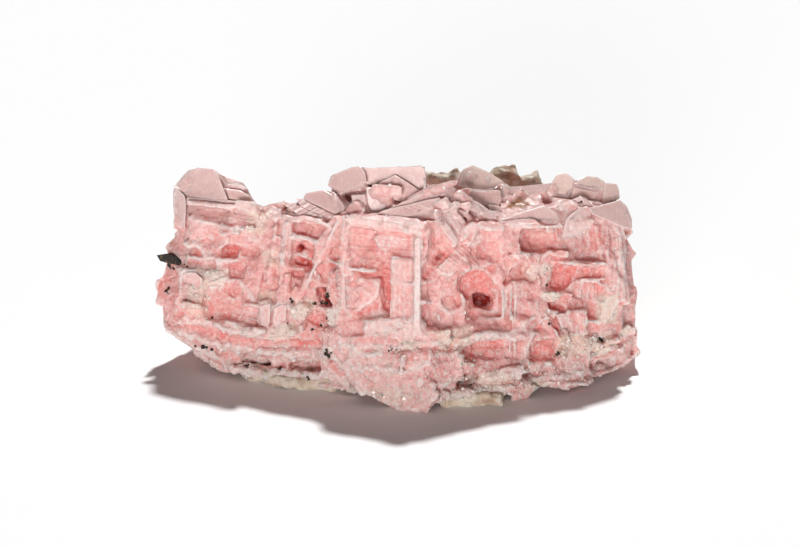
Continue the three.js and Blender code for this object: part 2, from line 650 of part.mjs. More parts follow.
// The sugary lumps of the crust, as [x, y, z, size]: a floor of slabs and a bank behind.
function crustLumps() {
  const floor = [
    block(new THREE.Vector3(-6, 16, 1.2), 66, 6.4, 34, {}, 1),
    block(new THREE.Vector3(-29.5, 18.6, 1.2), 18, 5, 22, { lean: 2, face: -14 }, 0.8),
    block(new THREE.Vector3(18.6, 4.4, 0.8), 15, 5, 20, { lean: -1 }, 0.6),
    block(new THREE.Vector3(-39, 29, 2.6), 14, 4.4, 24, { lean: 4, face: -30 }),
    block(new THREE.Vector3(36, 27, 2.2), 17, 4.6, 24, { lean: -3, face: 30 }),
  ];
  const bank = lump(
    [
      [-43, 15.4, 45],
      [-49.6, 21, 45],
      [-52, 33, 45],
      [-50, 43, 45],
      [-40, 46, 45],
      [-26, 47, 45],
      [-8, 51, 45],
      [8, 54.4, 45],
      [30, 54.4, 45],
      [40, 49.6, 45],
      [49, 44, 45],
      [51.4, 33, 45],
      [48, 21, 45],
      [41, 15.4, 45],
    ],
    8,
  );
  const crest = [
    [8.6, 57, 50, 4.8],
    [12.6, 57.2, 51, 4.6],
    [16, 56.2, 52, 5],
    [23.6, 57, 51, 5],
    [28, 57, 50, 4.8],
    [31.6, 55.4, 50.5, 4.6],
    [34.4, 53, 50, 4.6],
    [37.4, 51, 50, 4.4],
  ].map(([across, up, back, size]) =>
    block(at(across, up, back), size, size, size, tumbled()),
  );
  const knobs = [];
  for (let i = 0; i < KNOB.columns; i++)
    for (let j = 0; j < KNOB.rows; j++) {
      const stagger = j % 2 ? KNOB.stagger : -KNOB.stagger;
      const x = stagger + KNOB.span * (i / (KNOB.columns - 1) - 0.5) + KNOB.wander * stray();
      const z = KNOB.lowest + (KNOB.rise * j) / (KNOB.rows - 1) + KNOB.wander * stray();
      const size = KNOB.size + KNOB.wander * stray();
      const sink = KNOB.sink * (1 + stray()) + KNOB.roundOff * x * x;
      knobs.push(
        block(new THREE.Vector3(x, CRUST_REAR - sink, z), size, size, size * KNOB.flatness, tumbled()),
      );
    }
  return join([...floor, bank, ...crest, ...knobs]);
}

// ---------------------------------------------------------------- the clay flake
const FLAKE_CENTRE = at(-56.8, 38.4, 20);
function flake(scale) {
  const points = [
    [-3.4, -0.8, 0.9],
    [-3.2, 0.8, 0.2],
    [-2.6, -0.6, -0.7],
    [-1, -1.2, 1.3],
    [-0.6, -0.9, -1.2],
    [0.4, 1.4, 0.9],
    [1.6, -1.3, 0.5],
    [2.8, -0.9, -1.9],
    [3.6, 0.4, -0.6],
    [3.2, 1.4, -1.6],
    [0.6, 1.5, -1.4],
  ].map(([x, y, z]) => new THREE.Vector3(x, y, z).multiplyScalar(scale).add(FLAKE_CENTRE));
  return solid(new ConvexGeometry(points));
}
const FLAKE_POCKET = 1.32; // the pocket is the flake's own shape at this scale

// ---------------------------------------------------------------- joining it all
const aboveFloor = solid(
  new THREE.BoxGeometry(4 * FAR, 4 * FAR, 2 * FAR).translate(0, 0, FAR),
);

function halite() {
  const grown = join([
    ...masses(),
    ...leftCrystals.map(crystal),
    ...topLeftLumps(),
    ...topLeftCrystals.map(crystal),
    ...latticeCrystals.map(crystal),
    ...slantedPlates.map(crystal),
    ...centreCrystals.map(crystal),
    ...topCrystals.map(crystal),
    ...pierced.map(crystal),
    ...rightCrystals.map(crystal),
    ...rightLumps(),
    ...keel(),
    ...footCrystals.map(crystal),
    ...rearCrystals.map(crystal),
  ]);
  const pits = [
    ...leftPits,
    ...latticePits,
    ...centrePits,
    ...piercedPits,
    ...rightPits,
    ...footPits,
  ].map(pit);
  const hoppers = [...leftHoppers, ...piercedHoppers].flatMap(hopper);
  const inlays = [...leftInlays, ...centreInlays, ...footInlays].map(crystal);
  const pitted = join([cut(grown, [...pits, ...hoppers]), ...inlays, ...ledges()]);
  return pitted.subtract(crustRoom(PARTING)).subtract(flake(FLAKE_POCKET)).intersect(aboveFloor);
}

const crust = () => crustLumps().intersect(crustRoom(0)).intersect(aboveFloor);

// The largest body of a solid: chips that the cuts set free are dropped.
function whole(made) {
  return made.decompose().reduce((a, b) => (a.volume() > b.volume() ? a : b));
}

// A solid as a mesh of three.js.
function meshOf(name, made, colour, roughness) {
  const raw = whole(made).getMesh();
  const geometry = new THREE.BufferGeometry();
  geometry.setAttribute("position", new THREE.BufferAttribute(raw.vertProperties, 3));
  geometry.setIndex(new THREE.BufferAttribute(raw.triVerts, 1));
  const mesh = new THREE.Mesh(
    geometry,
    new THREE.MeshStandardMaterial({ color: colour, roughness, metalness: 0 }),
  );
  mesh.name = name;
  return mesh;
}

const cluster = new THREE.Group();
cluster.add(meshOf("halite_cluster", halite(), 0xe8b0ac, 0.35));
cluster.add(meshOf("salt_crust", crust(), 0xcbb09a, 0.7));
cluster.add(meshOf("clay_flake", flake(1), 0x2c2723, 0.8));

// The origin is the middle of the footprint, on the surface that the part rests on.
const box = new THREE.Box3().setFromObject(cluster);
const middle = box.getCenter(new THREE.Vector3());
cluster.position.set(-middle.x, -middle.y, -box.min.z);

export default cluster;
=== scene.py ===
# %% [markdown]
# # A pink halite cluster
# Halite is rock salt. It grows as cubes, and where it grows fast the edges of each cube run ahead of
# the middles of its faces, so a cube ends up as a stepped frame round a hollow: a hopper. This file
# dresses a plain solid of such a cluster: it adds the small crystals, pits and melted edges, and the
# finish of milky, faintly glassy salt. The solids come from the frame and are never moved.

# %% the frame
import math

import bmesh
import bpy
import numpy as np
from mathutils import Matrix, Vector


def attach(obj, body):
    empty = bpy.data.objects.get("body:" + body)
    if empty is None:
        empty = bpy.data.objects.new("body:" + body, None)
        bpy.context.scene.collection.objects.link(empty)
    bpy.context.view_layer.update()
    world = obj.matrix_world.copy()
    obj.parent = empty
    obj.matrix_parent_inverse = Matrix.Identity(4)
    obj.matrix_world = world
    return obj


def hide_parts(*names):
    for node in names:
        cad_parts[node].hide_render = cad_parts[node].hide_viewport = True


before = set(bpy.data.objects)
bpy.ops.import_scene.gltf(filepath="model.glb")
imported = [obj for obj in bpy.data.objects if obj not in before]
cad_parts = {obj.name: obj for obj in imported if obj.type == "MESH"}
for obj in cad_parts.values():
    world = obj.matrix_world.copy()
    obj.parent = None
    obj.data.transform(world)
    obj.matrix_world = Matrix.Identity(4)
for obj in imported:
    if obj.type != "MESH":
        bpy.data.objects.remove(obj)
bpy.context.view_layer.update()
MM = 0.001
print("nodes:", ", ".join(sorted(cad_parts)))

# %% [markdown]
# ## The view
# A small thing is best seen from some way off through a long lens, so that its near parts don't loom.
# The front of this cluster is laid out as it shows from 18 degrees above the horizon. The view is
# divided into 800 columns and 548 rows, about four to the millimetre, and every small feature of
# the front is named by its column and row: a line of sight through that place is followed until it
# meets the salt. Typing in x, y and z would be exact too, but nobody could check them by eye.

# %% the view
LOOK_DOWN = math.radians(18)
CAMERA_AWAY = 900.0  # mm
COLUMNS, ROWS = 800, 548
PER_MM = 4.025  # columns to a millimetre, at the aim
AIM = np.array([0.967, -13.04, 29.6])  # mm
RIGHT = np.array([1.0, 0.0, 0.0])
UPWARD = np.array([0.0, math.sin(LOOK_DOWN), math.cos(LOOK_DOWN)])
AHEAD = np.array([0.0, math.cos(LOOK_DOWN), -math.sin(LOOK_DOWN)])
EYE = AIM - CAMERA_AWAY * AHEAD
camera_data = bpy.data.cameras.new("camera")
camera_data.sensor_width = 36.0
camera_data.lens = camera_data.sensor_width * PER_MM * CAMERA_AWAY / COLUMNS
camera_data.clip_end = 20.0  # m, past the far edge of the floor
camera = bpy.data.objects.new("camera", camera_data)
bpy.context.collection.objects.link(camera)
camera.location = Vector(EYE * MM)
camera.rotation_euler = Vector(AHEAD).to_track_quat("-Z", "Y").to_euler()
bpy.context.scene.camera = camera
print("camera at, mm:", EYE.round(1))


def sight_lines(places):
    """Unit directions from the eye through places: ahead, plus so many mm to the right and up."""
    places = np.asarray(places, float)
    across = (places[:, :1] - COLUMNS / 2) / PER_MM
    upward = (ROWS / 2 - places[:, 1:2]) / PER_MM
    lines = CAMERA_AWAY * AHEAD + across * RIGHT + upward * UPWARD
    return lines / np.linalg.norm(lines, axis=1, keepdims=True)


def shown_at(points):
    """Column and row at which points show: mm to the right and up, shrunk by how far away they are."""
    away = (points - EYE) @ AHEAD
    scale = PER_MM * CAMERA_AWAY / away
    column = COLUMNS / 2 + (points - EYE) @ RIGHT * scale
    return np.stack([column, ROWS / 2 - (points - EYE) @ UPWARD * scale], 1)


# %% [markdown]
# ## Floor and light
# Milky salt shows its depth when light comes through it, so the key light stands high behind the
# cluster. A broad, low light in front keeps the near faces bright, and a dim white world keeps the
# shadows from going black. Both lamps are suns, whose light doesn't fade with distance, so nothing
# changes if the cluster is moved. A sun's angle says how soft the edges of its shadows are.

# %% floor and light
def plain_material(name, colour, roughness):
    """A material of one colour and one roughness all over."""
    material = bpy.data.materials.new(name)
    material.use_nodes = True
    shader = material.node_tree.nodes["Principled BSDF"]
    shader.inputs["Base Color"].default_value = (*colour, 1)
    shader.inputs["Roughness"].default_value = roughness
    return material


FLOOR_REACH = 3.0  # m
floor_mesh = bpy.data.meshes.new("floor")
floor_mesh.from_pydata(
    [(x * FLOOR_REACH, y * FLOOR_REACH, 0.0) for x, y in ((-1, -1), (1, -1), (1, 1), (-1, 1))],
    [],
    [(0, 1, 2, 3)],
)
floor = bpy.data.objects.new("floor", floor_mesh)
bpy.context.collection.objects.link(floor)
floor_mesh.materials.append(plain_material("pale_floor", (0.97, 0.97, 0.97), 0.95))


def sun(name, energy, soft_degrees, direction, colour=(1, 1, 1)):
    """A sun lamp that shines at the cluster from a direction, given as a vector towards the lamp."""
    data = bpy.data.lights.new(name, "SUN")
    data.energy = energy
    data.color = colour
    data.angle = math.radians(soft_degrees)
    lamp = bpy.data.objects.new(name, data)
    bpy.context.collection.objects.link(lamp)
    lamp.location = Vector(direction).normalized()
    lamp.rotation_euler = lamp.location.to_track_quat("Z", "Y").to_euler()


sun("key", 3.3, 4, (0.11, 0.55, 1.0))
sun("front_fill", 3.5, 18, (-0.15, -1.0, 0.02), (1.0, 0.98, 0.97))
world = bpy.data.worlds.new("studio")
world.use_nodes = True
background = world.node_tree.nodes["Background"]
background.inputs["Color"].default_value = (1, 1, 1, 1)
background.inputs["Strength"].default_value = 0.06
bpy.context.scene.world = world
bpy.context.scene.view_settings.view_transform = "Standard"
print("lamps:", ", ".join(light.name for light in bpy.data.lights))

# %% [markdown]
# ## A block of space
# Sculpting hundreds of overlapping cubes and pits as polygons would need a boolean for each. It is
# simpler to fill a block of space with numbers, the distance to the surface at each grid point,
# negative inside. Then joining two shapes is the smaller of two numbers, and cutting is the larger
# of one and minus the other. The surface is where the numbers change sign, and it is drawn last.

# %% a block of space
REACH = 1.0  # mm from the surface up to which distances are worked out


class Space:
    """A grid of distances in mm. Grid point (i, j, k) lies at low + step * (i, j, k)."""

    def __init__(self, low, high, step):
        self.low = np.asarray(low, float)
        self.step = step
        self.shape = tuple(np.ceil((np.asarray(high) - self.low) / step).astype(int) + 1)
        self.value = np.full(self.shape, REACH, np.float32)

    def window(self, low, high):
        """The slices of the grid that hold a box, and the x, y and z of their points."""
        first = np.floor((np.asarray(low) - self.low) / self.step).astype(int)
        last = np.ceil((np.asarray(high) - self.low) / self.step).astype(int) + 1
        first = np.clip(first, 0, self.shape)
        last = np.clip(last, first, self.shape)
        lines = [
            (self.low[k] + self.step * np.arange(first[k], last[k])).astype(np.float32)
            for k in range(3)
        ]
        grids = np.meshgrid(*lines, indexing="ij", sparse=True)
        return tuple(slice(int(a), int(b)) for a, b in zip(first, last)), grids

    def sample(self, values, points):
        """Trilinear blend of a grid's values at points: the eight corners round each, by nearness."""
        spot = (points - self.low) / self.step
        spot = np.clip(spot, 0, np.array(self.shape) - 1.001)
        corner = spot.astype(int)
        share = (spot - corner).astype(np.float32)
        total = np.zeros(len(points), np.float32)
        for i, j, k in np.ndindex(2, 2, 2):
            weight = np.prod(np.where([i, j, k], share, 1 - share), axis=1)
            total += weight * values[corner[:, 0] + i, corner[:, 1] + j, corner[:, 2] + k]
        return total


# %% [markdown]
# ## From triangles to distances
# Two questions are asked of each grid point. Is it inside? Going up each column of points, every
# downward-facing triangle is a way in and every upward-facing one a way out, and a running sum says
# how many times the column is inside. How far is the surface? The distance to the nearest triangle
# is either the height over its plane or the distance to one of its edges.

# %% triangles to distances
def node_triangles(name):
    """The triangles of a node in mm, as an array of n x 3 corners x 3 coordinates."""
    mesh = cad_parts[name].data
    mesh.calc_loop_triangles()
    corners = np.zeros(len(mesh.vertices) * 3)
    mesh.vertices.foreach_get("co", corners)
    index = np.zeros(len(mesh.loop_triangles) * 3, np.int32)
    mesh.loop_triangles.foreach_get("vertices", index)
    return corners.reshape(-1, 3)[index].reshape(-1, 3, 3) / MM


def is_inside(space, triangles):
    """Running sum up each column: plus one where a triangle faces down, minus one where it faces up."""
    step, low = space.step, space.low
    first = np.ceil((triangles.min(1)[:, :2] - low[:2]) / step).astype(int)
    last = np.floor((triangles.max(1)[:, :2] - low[:2]) / step).astype(int)
    count = np.maximum(last - first + 1, 0)
    columns = count.prod(1)
    which = np.repeat(np.arange(len(triangles)), columns)
    place = np.arange(columns.sum()) - np.repeat(columns.cumsum() - columns, columns)
    i = first[which, 0] + place // count[which, 1]
    j = first[which, 1] + place % count[which, 1]
    x, y = low[0] + i * step, low[1] + j * step
    a, b, c = (triangles[which, k] for k in range(3))

    def side(p, q):  # twice the area of the triangle p, q and the grid point, seen from above
        return (q[:, 0] - p[:, 0]) * (y - p[:, 1]) - (q[:, 1] - p[:, 1]) * (x - p[:, 0])

    share_c, share_a, share_b = side(a, b), side(b, c), side(c, a)
    area = share_a + share_b + share_c
    low_share = np.minimum(np.minimum(share_a, share_b), share_c)
    high_share = np.maximum(np.maximum(share_a, share_b), share_c)
    hit = (area != 0) & ((low_share >= 0) | (high_share <= 0))
    height = (share_a * a[:, 2] + share_b * b[:, 2] + share_c * c[:, 2])[hit] / area[hit]
    k = np.clip(np.ceil((height - low[2]) / step).astype(int), 0, space.shape[2] - 1)
    turns = np.zeros(space.shape, np.int16)
    np.add.at(turns, (i[hit], j[hit], k), np.where(area[hit] < 0, 1, -1).astype(np.int16))
    return np.cumsum(turns, axis=2, dtype=np.int16) > 0


# %% splitting long triangles
def split_long(triangles, longest):
    """Halves the longest edge of each triangle until no edge is longer than longest."""
    while True:
        edges = np.linalg.norm(triangles - np.roll(triangles, -1, axis=1), axis=2)
        long = edges.max(1) > longest
        if not long.any():
            return triangles
        t, w, n = triangles[long], edges[long].argmax(1), np.arange(long.sum())
        a, b, c = t[n, w], t[n, (w + 1) % 3], t[n, (w + 2) % 3]
        middle = (a + b) / 2
        halves = [np.stack([a, middle, c], 1), np.stack([middle, b, c], 1)]
        triangles = np.concatenate([triangles[~long], *halves])


def dot(a, b):
    """Row by row, the sum of the products of two lists of vectors."""
    return np.einsum("ij,ij->i", a, b)


# %% the nearest triangle
def fill_distances(space, triangles, longest=2.5, batch=4000):
    """Least distance from each grid point within REACH to any triangle, signed by inside or out."""
    inside = is_inside(space, triangles)
    small = split_long(triangles, longest)
    normal = np.cross(small[:, 1] - small[:, 0], small[:, 2] - small[:, 0])
    size = np.linalg.norm(normal, axis=1)
    small, normal = small[size > 1e-9], normal[size > 1e-9] / size[size > 1e-9][:, None]
    small, normal = small.astype(np.float32), normal.astype(np.float32)
    base = np.floor((small.min(1) - REACH - space.low) / space.step).astype(np.int32)
    span = int(np.ceil((longest + 2 * REACH) / space.step)) + 1
    steps = np.arange(span)
    offsets = np.stack(np.meshgrid(steps, steps, steps, indexing="ij"), -1).reshape(-1, 3)
    offsets_mm = (offsets * space.step).astype(np.float32)
    flat = space.value.reshape(-1)
    shape = np.array(space.shape)
    for first in range(0, len(small), batch):
        t, n, b = (v[first : first + batch] for v in (small, normal, base))
        start = (space.low + b * space.step).astype(np.float32) - t[:, 0]
        over = dot(start, n)[:, None] + n @ offsets_mm.T
        which, cell = np.nonzero(np.abs(over) < REACH)
        spot = start[which] + offsets_mm[cell]
        high = (t.max(1) - t[:, 0])[which] + REACH
        keep = (spot <= high).all(1)
        which, cell, spot = which[keep], cell[keep], spot[keep]
        height = over[which, cell]
        edge_distance = np.full(len(spot), np.inf, np.float32)
        above = np.ones(len(spot), bool)
        for k in range(3):
            edge = t[:, (k + 1) % 3] - t[:, k]
            inward = np.cross(n, edge)
            from_corner = spot - (t[:, k] - t[:, 0])[which]
            above &= dot(from_corner, inward[which]) >= 0
            along = dot(from_corner, edge[which]) / np.maximum(dot(edge, edge), 1e-12)[which]
            away = from_corner - np.clip(along, 0, 1)[:, None] * edge[which]
            edge_distance = np.minimum(edge_distance, dot(away, away))
        distance = np.where(above, np.abs(height), np.sqrt(edge_distance))
        point = b[which] + offsets[cell]
        keep = (distance < REACH) & (point >= 0).all(1) & (point < shape).all(1)
        point = point[keep]
        index = (point[:, 0] * shape[1] + point[:, 1]) * shape[2] + point[:, 2]
        np.minimum.at(flat, index, distance[keep])
    space.value = np.where(inside, -space.value, space.value)
    return len(small)


# %% [markdown]
# ## From distances to a surface
# Each little cube of the grid that has points on both sides of the surface gets one vertex, at the
# average of the places where the surface crosses its edges. Each grid edge that crosses the surface
# gets one four-sided face that joins the vertices of the four cubes round it. This is the surface
# nets method. It gives even, nearly square faces, and it can't leave a hole.

# %% distances to a surface
def draw_surface(space):
    """Vertices in mm and four-sided faces of the surface where the distances change sign."""
    value = space.value
    inside = value < 0
    cells = np.array(space.shape) - 1
    corner_sum = np.zeros(cells, np.int8)
    for i, j, k in np.ndindex(2, 2, 2):
        corner_sum += inside[i : i + cells[0], j : j + cells[1], k : k + cells[2]]
    crossed = (corner_sum > 0) & (corner_sum < 8)
    place = np.argwhere(crossed)
    number = np.full(cells, -1, np.int32)
    number[crossed] = np.arange(len(place), dtype=np.int32)
    total, hits = np.zeros((len(place), 3)), np.zeros(len(place))
    for axis, first, second in np.ndindex(3, 2, 2):
        p = place.copy()
        p[:, (axis + 1) % 3] += first
        p[:, (axis + 2) % 3] += second
        q = p.copy()
        q[:, axis] += 1
        a, b = value[tuple(p.T)], value[tuple(q.T)]
        crosses = (a < 0) != (b < 0)
        share = np.where(crosses, a / np.where(crosses, a - b, 1), 0)
        spot = p.astype(float)
        spot[:, axis] += share
        total += spot * crosses[:, None]
        hits += crosses
    vertices = space.low + space.step * total / hits[:, None]
    faces = []
    for axis in range(3):
        lower = [slice(1, n - 1) for n in space.shape]
        upper = list(lower)
        lower[axis], upper[axis] = slice(0, space.shape[axis] - 1), slice(1, space.shape[axis])
        a, b = inside[tuple(lower)], inside[tuple(upper)]
        across, over = (axis + 1) % 3, (axis + 2) % 3
        for mask, turned in ((a & ~b, False), (~a & b, True)):
            low_point = np.argwhere(mask) + 1
            low_point[:, axis] -= 1
            ring = []
            for step_across, step_over in ((1, 1), (0, 1), (0, 0), (1, 0)):
                cell = low_point.copy()
                cell[:, across] -= step_across
                cell[:, over] -= step_over
                ring.append(number[tuple(cell.T)])
            quads = np.stack(ring, 1)
            faces.append(quads[:, ::-1] if turned else quads)
    return vertices, np.concatenate(faces)


# %% blurring a grid
def blur(values):
    """Each grid value becomes a quarter of both neighbours and half of itself, along each axis."""
    for axis in range(3):
        padded = np.concatenate([values.take([0], axis), values, values.take([-1], axis)], axis)
        length = values.shape[axis]
        before = padded.take(range(0, length), axis)
        after = padded.take(range(2, length + 2), axis)
        values = 0.25 * before + 0.5 * values + 0.25 * after
    return values


def box_blur(values, radius):
    """Mean over 2 * radius + 1 grid values along each axis, from the difference of running sums."""
    for axis in range(3):
        width = 2 * radius + 1
        padding = [(0, 0)] * 3
        padding[axis] = (radius + 1, radius)
        sums = np.cumsum(np.pad(values, padding, mode="edge"), axis=axis, dtype=np.float64)
        length = values.shape[axis]
        high = sums.take(range(width, width + length), axis)
        low = sums.take(range(0, length), axis)
        values = ((high - low) / width).astype(np.float32)
    return values


# %% [markdown]
# ## Noise
# Natural wear has no pattern, but it has a scale. A coarse grid of random numbers, blended smoothly
# to the fine grid, gives bumps of one size. Two or three sizes together look grown.

# %% noise
def hashed(x, y, z, seed):
    """A fixed random number from -1 to 1 for each whole-number place."""
    mixed = (x * 73856093) ^ (y * 19349663) ^ (z * 83492791) ^ (seed * 2654435761)
    mixed = (mixed ^ (mixed >> 13)) * 1274126177 & 0x7FFFFFFF
    mixed = (mixed ^ (mixed >> 16)) & 0xFFFF
    return mixed / 32767.5 - 1


def noise(points, size, seed):
    """Random numbers on a lattice of one size, blended with smooth weights: about -1 to 1."""
    spot = points / size + 100.0
    corner = np.floor(spot).astype(np.int64)
    share = spot - corner
    share = share * share * (3 - 2 * share)
    total = np.zeros(len(points))
    for i, j, k in np.ndindex(2, 2, 2):
        x, y, z = corner[:, 0] + i, corner[:, 1] + j, corner[:, 2] + k
        weight = np.prod(np.where([i, j, k], share, 1 - share), axis=1)
        total += weight * hashed(x, y, z, seed)
    return total


def brick_noise(points, size, seed):
    """One random number for each brick of a wall whose courses are shifted by random amounts."""
    layer = np.floor(points[:, 2] / size + 100).astype(np.int64)
    shift = hashed(layer, layer, layer, seed)
    row = np.floor(points[:, 1] / size + shift + 100).astype(np.int64)
    shift = hashed(layer, row, row, seed)
    place = np.floor(points[:, 0] / (1.3 * size) + shift + 100).astype(np.int64)
    return hashed(place, row, layer, seed + 1)


# %% [markdown]
# ## Joining small blocks
# Salt breaks and grows along three square directions, so even the smallest knob is a little block
# that lies square to the crystal that carries it. A rounded block is a box whose distance is
# measured from a smaller box inside it, less the radius of the rounding.

# %% small blocks
def block_distance(grids, centre, axes, half, rounding):
    """Distance to a rounded box: that to a box smaller by the rounding, less the rounding."""
    x, y, z = (g - c for g, c in zip(grids, centre))
    outside, most = 0.0, -np.inf
    for axis, reach in zip(axes, half):
        over = np.abs(x * axis[0] + y * axis[1] + z * axis[2]) - (reach - rounding)
        outside = outside + np.maximum(over, 0) ** 2
        most = np.maximum(most, over)
    return np.sqrt(outside) + np.minimum(most, 0) - rounding


def add_block(space, centre, axes, half, rounding):
    """Joins a rounded block to the salt: the smaller of the two distances."""
    reach = np.linalg.norm(half) + REACH
    window, grids = space.window(centre - reach, centre + reach)
    values = space.value[window]
    if not values.size:
        return
    distance = block_distance(grids, centre, axes, half, rounding).astype(np.float32)
    np.minimum(values, np.maximum(distance, -REACH), out=values)


# %% [markdown]
# ## Where the small crystals sit
# A place is drawn at random on the solid's own faces, larger faces more often. Each face says how
# a crystal on it must lie: square to the face, and along one of its right-angled edges. A scatter
# in Geometry Nodes would find the places too, but the blocks have to be joined before there is a mesh.

# %% places
WORLD_AXES = np.eye(3)


def face_axes(triangles):
    """For each triangle its outward normal, a direction along its squarest corner, and the third."""
    edges = np.roll(triangles, -1, axis=1) - triangles
    normal = np.cross(edges[:, 0], edges[:, 1])
    area = np.linalg.norm(normal, axis=1) / 2
    normal /= np.maximum(2 * area, 1e-12)[:, None]
    lengths = np.maximum(np.linalg.norm(edges, axis=2), 1e-9)
    unit = edges / lengths[:, :, None]
    squareness = np.abs(np.einsum("nij,nij->ni", unit, np.roll(unit, -1, axis=1)))
    best = squareness.argmin(1)
    rows = np.arange(len(triangles))
    along = unit[rows, best]
    fallback = np.where(np.abs(normal[:, :1]) < 0.8, WORLD_AXES[0], WORLD_AXES[2])
    along = np.where((squareness[rows, best] < 0.06)[:, None], along, fallback)
    along = along - dot(along, normal)[:, None] * normal
    along /= np.maximum(np.linalg.norm(along, axis=1), 1e-9)[:, None]
    return area, normal, along, np.cross(normal, along)


def smooth_step(low, high, value):
    """0 below low, 1 above high, and an S-shaped rise between."""
    t = np.clip((value - low) / (high - low), 0, 1)
    return t * t * (3 - 2 * t)


def scatter(triangles, count, rng):
    """Random places on the triangles: positions, normals and two square directions."""
    area, normal, along, third = face_axes(triangles)
    share = area * (0.6 + 0.4 * smooth_step(0.2, 0.7, -normal[:, 1]))  # the front gets a few more
    chosen = rng.choice(len(triangles), count, p=share / share.sum())
    u, v = rng.random(count), rng.random(count)
    flip = u + v > 1
    u, v = np.where(flip, 1 - u, u), np.where(flip, 1 - v, v)
    a, b, c = (triangles[chosen, k] for k in range(3))
    place = a + u[:, None] * (b - a) + v[:, None] * (c - a)
    return place, normal[chosen], along[chosen], third[chosen]


# %% [markdown]
# ## Carving what the front shows
# A feature of the front is an outline in columns and rows. Lines of sight through its corners find
# how deep the salt lies there, and the outline is then carried straight into the salt, or raised
# from it. The front is a wedge, so the direction inwards turns a little towards the middle on
# each side. Every cut and every added piece also tints the salt round it: pit floors red, which is
# painted shade and glow, and rims pale.

# %% where sight lines meet the salt
PROW_COLUMN = 428  # where the two sides of the front meet
WEDGE = (math.radians(22), math.radians(20))  # turn of the left and the right side


def inward_at(column):
    """The level direction into the salt at a column."""
    turn = WEDGE[0] if column < PROW_COLUMN else -WEDGE[1]
    turn *= min(abs(column - PROW_COLUMN) / 25, 1)
    return np.array([math.sin(turn), math.cos(turn), 0.0])


NEAREST, FARTHEST, STRIDE = 855.0, 960.0, 0.3  # mm from the eye: where a sight line is felt along


def first_hits(space, places):
    """Where lines of sight through places first meet the salt; a miss is bridged from its neighbours."""
    lines = sight_lines(places)
    away = np.arange(NEAREST, FARTHEST, STRIDE)
    points = EYE + away[None, :, None] * lines[:, None, :]
    values = space.sample(space.value, points.reshape(-1, 3)).reshape(len(lines), -1)
    hit = values < 0
    depth = away[hit.argmax(1)]
    found = np.flatnonzero(hit.any(1))
    if not len(found):
        return None
    depth = np.interp(np.arange(len(lines)), found, depth[found])
    return EYE + depth[:, None] * lines


# %% an outline carried inwards
def smooth_most(a, b, width):
    """The larger of two numbers, rounded off where they are within width of each other."""
    blend = np.maximum(width - np.abs(a - b), 0) / width
    return np.maximum(a, b) + blend * blend * width / 4


class TintGrid:
    """Numbers from 0 to 1 on the grid that say how far the salt has one colour."""

    def __init__(self, space):
        self.value = np.zeros(space.shape, np.float32)

    def lay(self, window, share, level):
        """Moves the numbers of a window towards a level, by a share from 0 to 1."""
        values = self.value[window]
        np.copyto(values, values + share * (level - values))


def prism(space, places, front, back, rounding, taper=0.0):
    """Distance to an outline carried inwards: the most of its edges' distances and its two ends'."""
    hits = first_hits(space, places)
    if hits is None:
        return None
    places = np.asarray(places, float)
    inward = inward_at(places[:, 0].mean())
    side = np.array([inward[1], -inward[0], 0.0])
    middle = np.median((hits - EYE) @ inward)
    lines = sight_lines(places)
    corners = EYE + (middle / (lines @ inward))[:, None] * lines
    flat = np.stack([corners @ side, corners[:, 2]], 1)
    centre = flat.mean(0)
    turned = np.argsort(np.arctan2(*(flat - centre).T[::-1]))
    flat = flat[turned]
    centre_3d = corners.mean(0)
    reach = np.linalg.norm(flat - centre, axis=1).max() + max(abs(front), abs(back)) + REACH
    window, (x, y, z) = space.window(centre_3d - reach, centre_3d + reach)
    across = x * side[0] + y * side[1]
    deep = x * inward[0] + y * inward[1] - (middle + EYE @ inward)
    around = None
    for a, b in zip(flat, np.roll(flat, -1, axis=0)):
        edge = b - a
        out = np.array([edge[1], -edge[0]]) / max(np.linalg.norm(edge), 1e-6)
        distance = (across - a[0]) * out[0] + (z - a[1]) * out[1]
        around = distance if around is None else smooth_most(around, distance, max(rounding, 0.05))
    around = around + taper * np.maximum(deep, 0) + rounding
    ends = np.maximum(front - deep, deep - back) + rounding
    outside = np.sqrt(np.maximum(around, 0) ** 2 + np.maximum(ends, 0) ** 2)
    distance = outside + np.minimum(np.maximum(around, ends), 0) - rounding
    return window, distance.astype(np.float32), np.broadcast_to(deep, distance.shape)


# %% cutting, raising and laying
MELT = 0.45  # mm over which edges have melted into each other


def carve_pit(space, tints, depth, redness, places, rounding):
    """Cuts an outline into the salt: the larger of the salt's distance and minus the outline's."""
    made = prism(space, places, -3.0, depth, rounding, taper=0.12)
    if made is None:
        return
    window, distance, deep = made
    values = space.value[window]
    np.copyto(values, smooth_most(values, -np.minimum(distance, REACH), MELT))
    # Painted shade and glow: the walls and floor of the pit are tinted red, to the pit's redness.
    near = 1 - smooth_step(0.3, 1.1, distance)
    inside = near * smooth_step(-0.3, min(depth, 2.0) * 0.8, deep)
    tints["red"].lay(window, inside, redness)
    tints["pale"].lay(window, inside, 0.0)


def raise_slab(space, tints, rise, paleness, creaminess, places, rounding, blend):
    """Raises an outline from the salt: the smaller of the two distances, blended where they meet."""
    made = prism(space, places, -rise, 2.5, rounding)
    if made is None:
        return
    window, distance, _ = made
    values = space.value[window]
    np.copyto(values, -smooth_most(-values, -np.maximum(distance, -REACH), blend))
    near = 1 - smooth_step(0.2, 0.8, distance)
    tints["pale"].lay(window, near, paleness)
    tints["cream"].lay(window, near, creaminess)
    tints["red"].lay(window, near, 0.0)


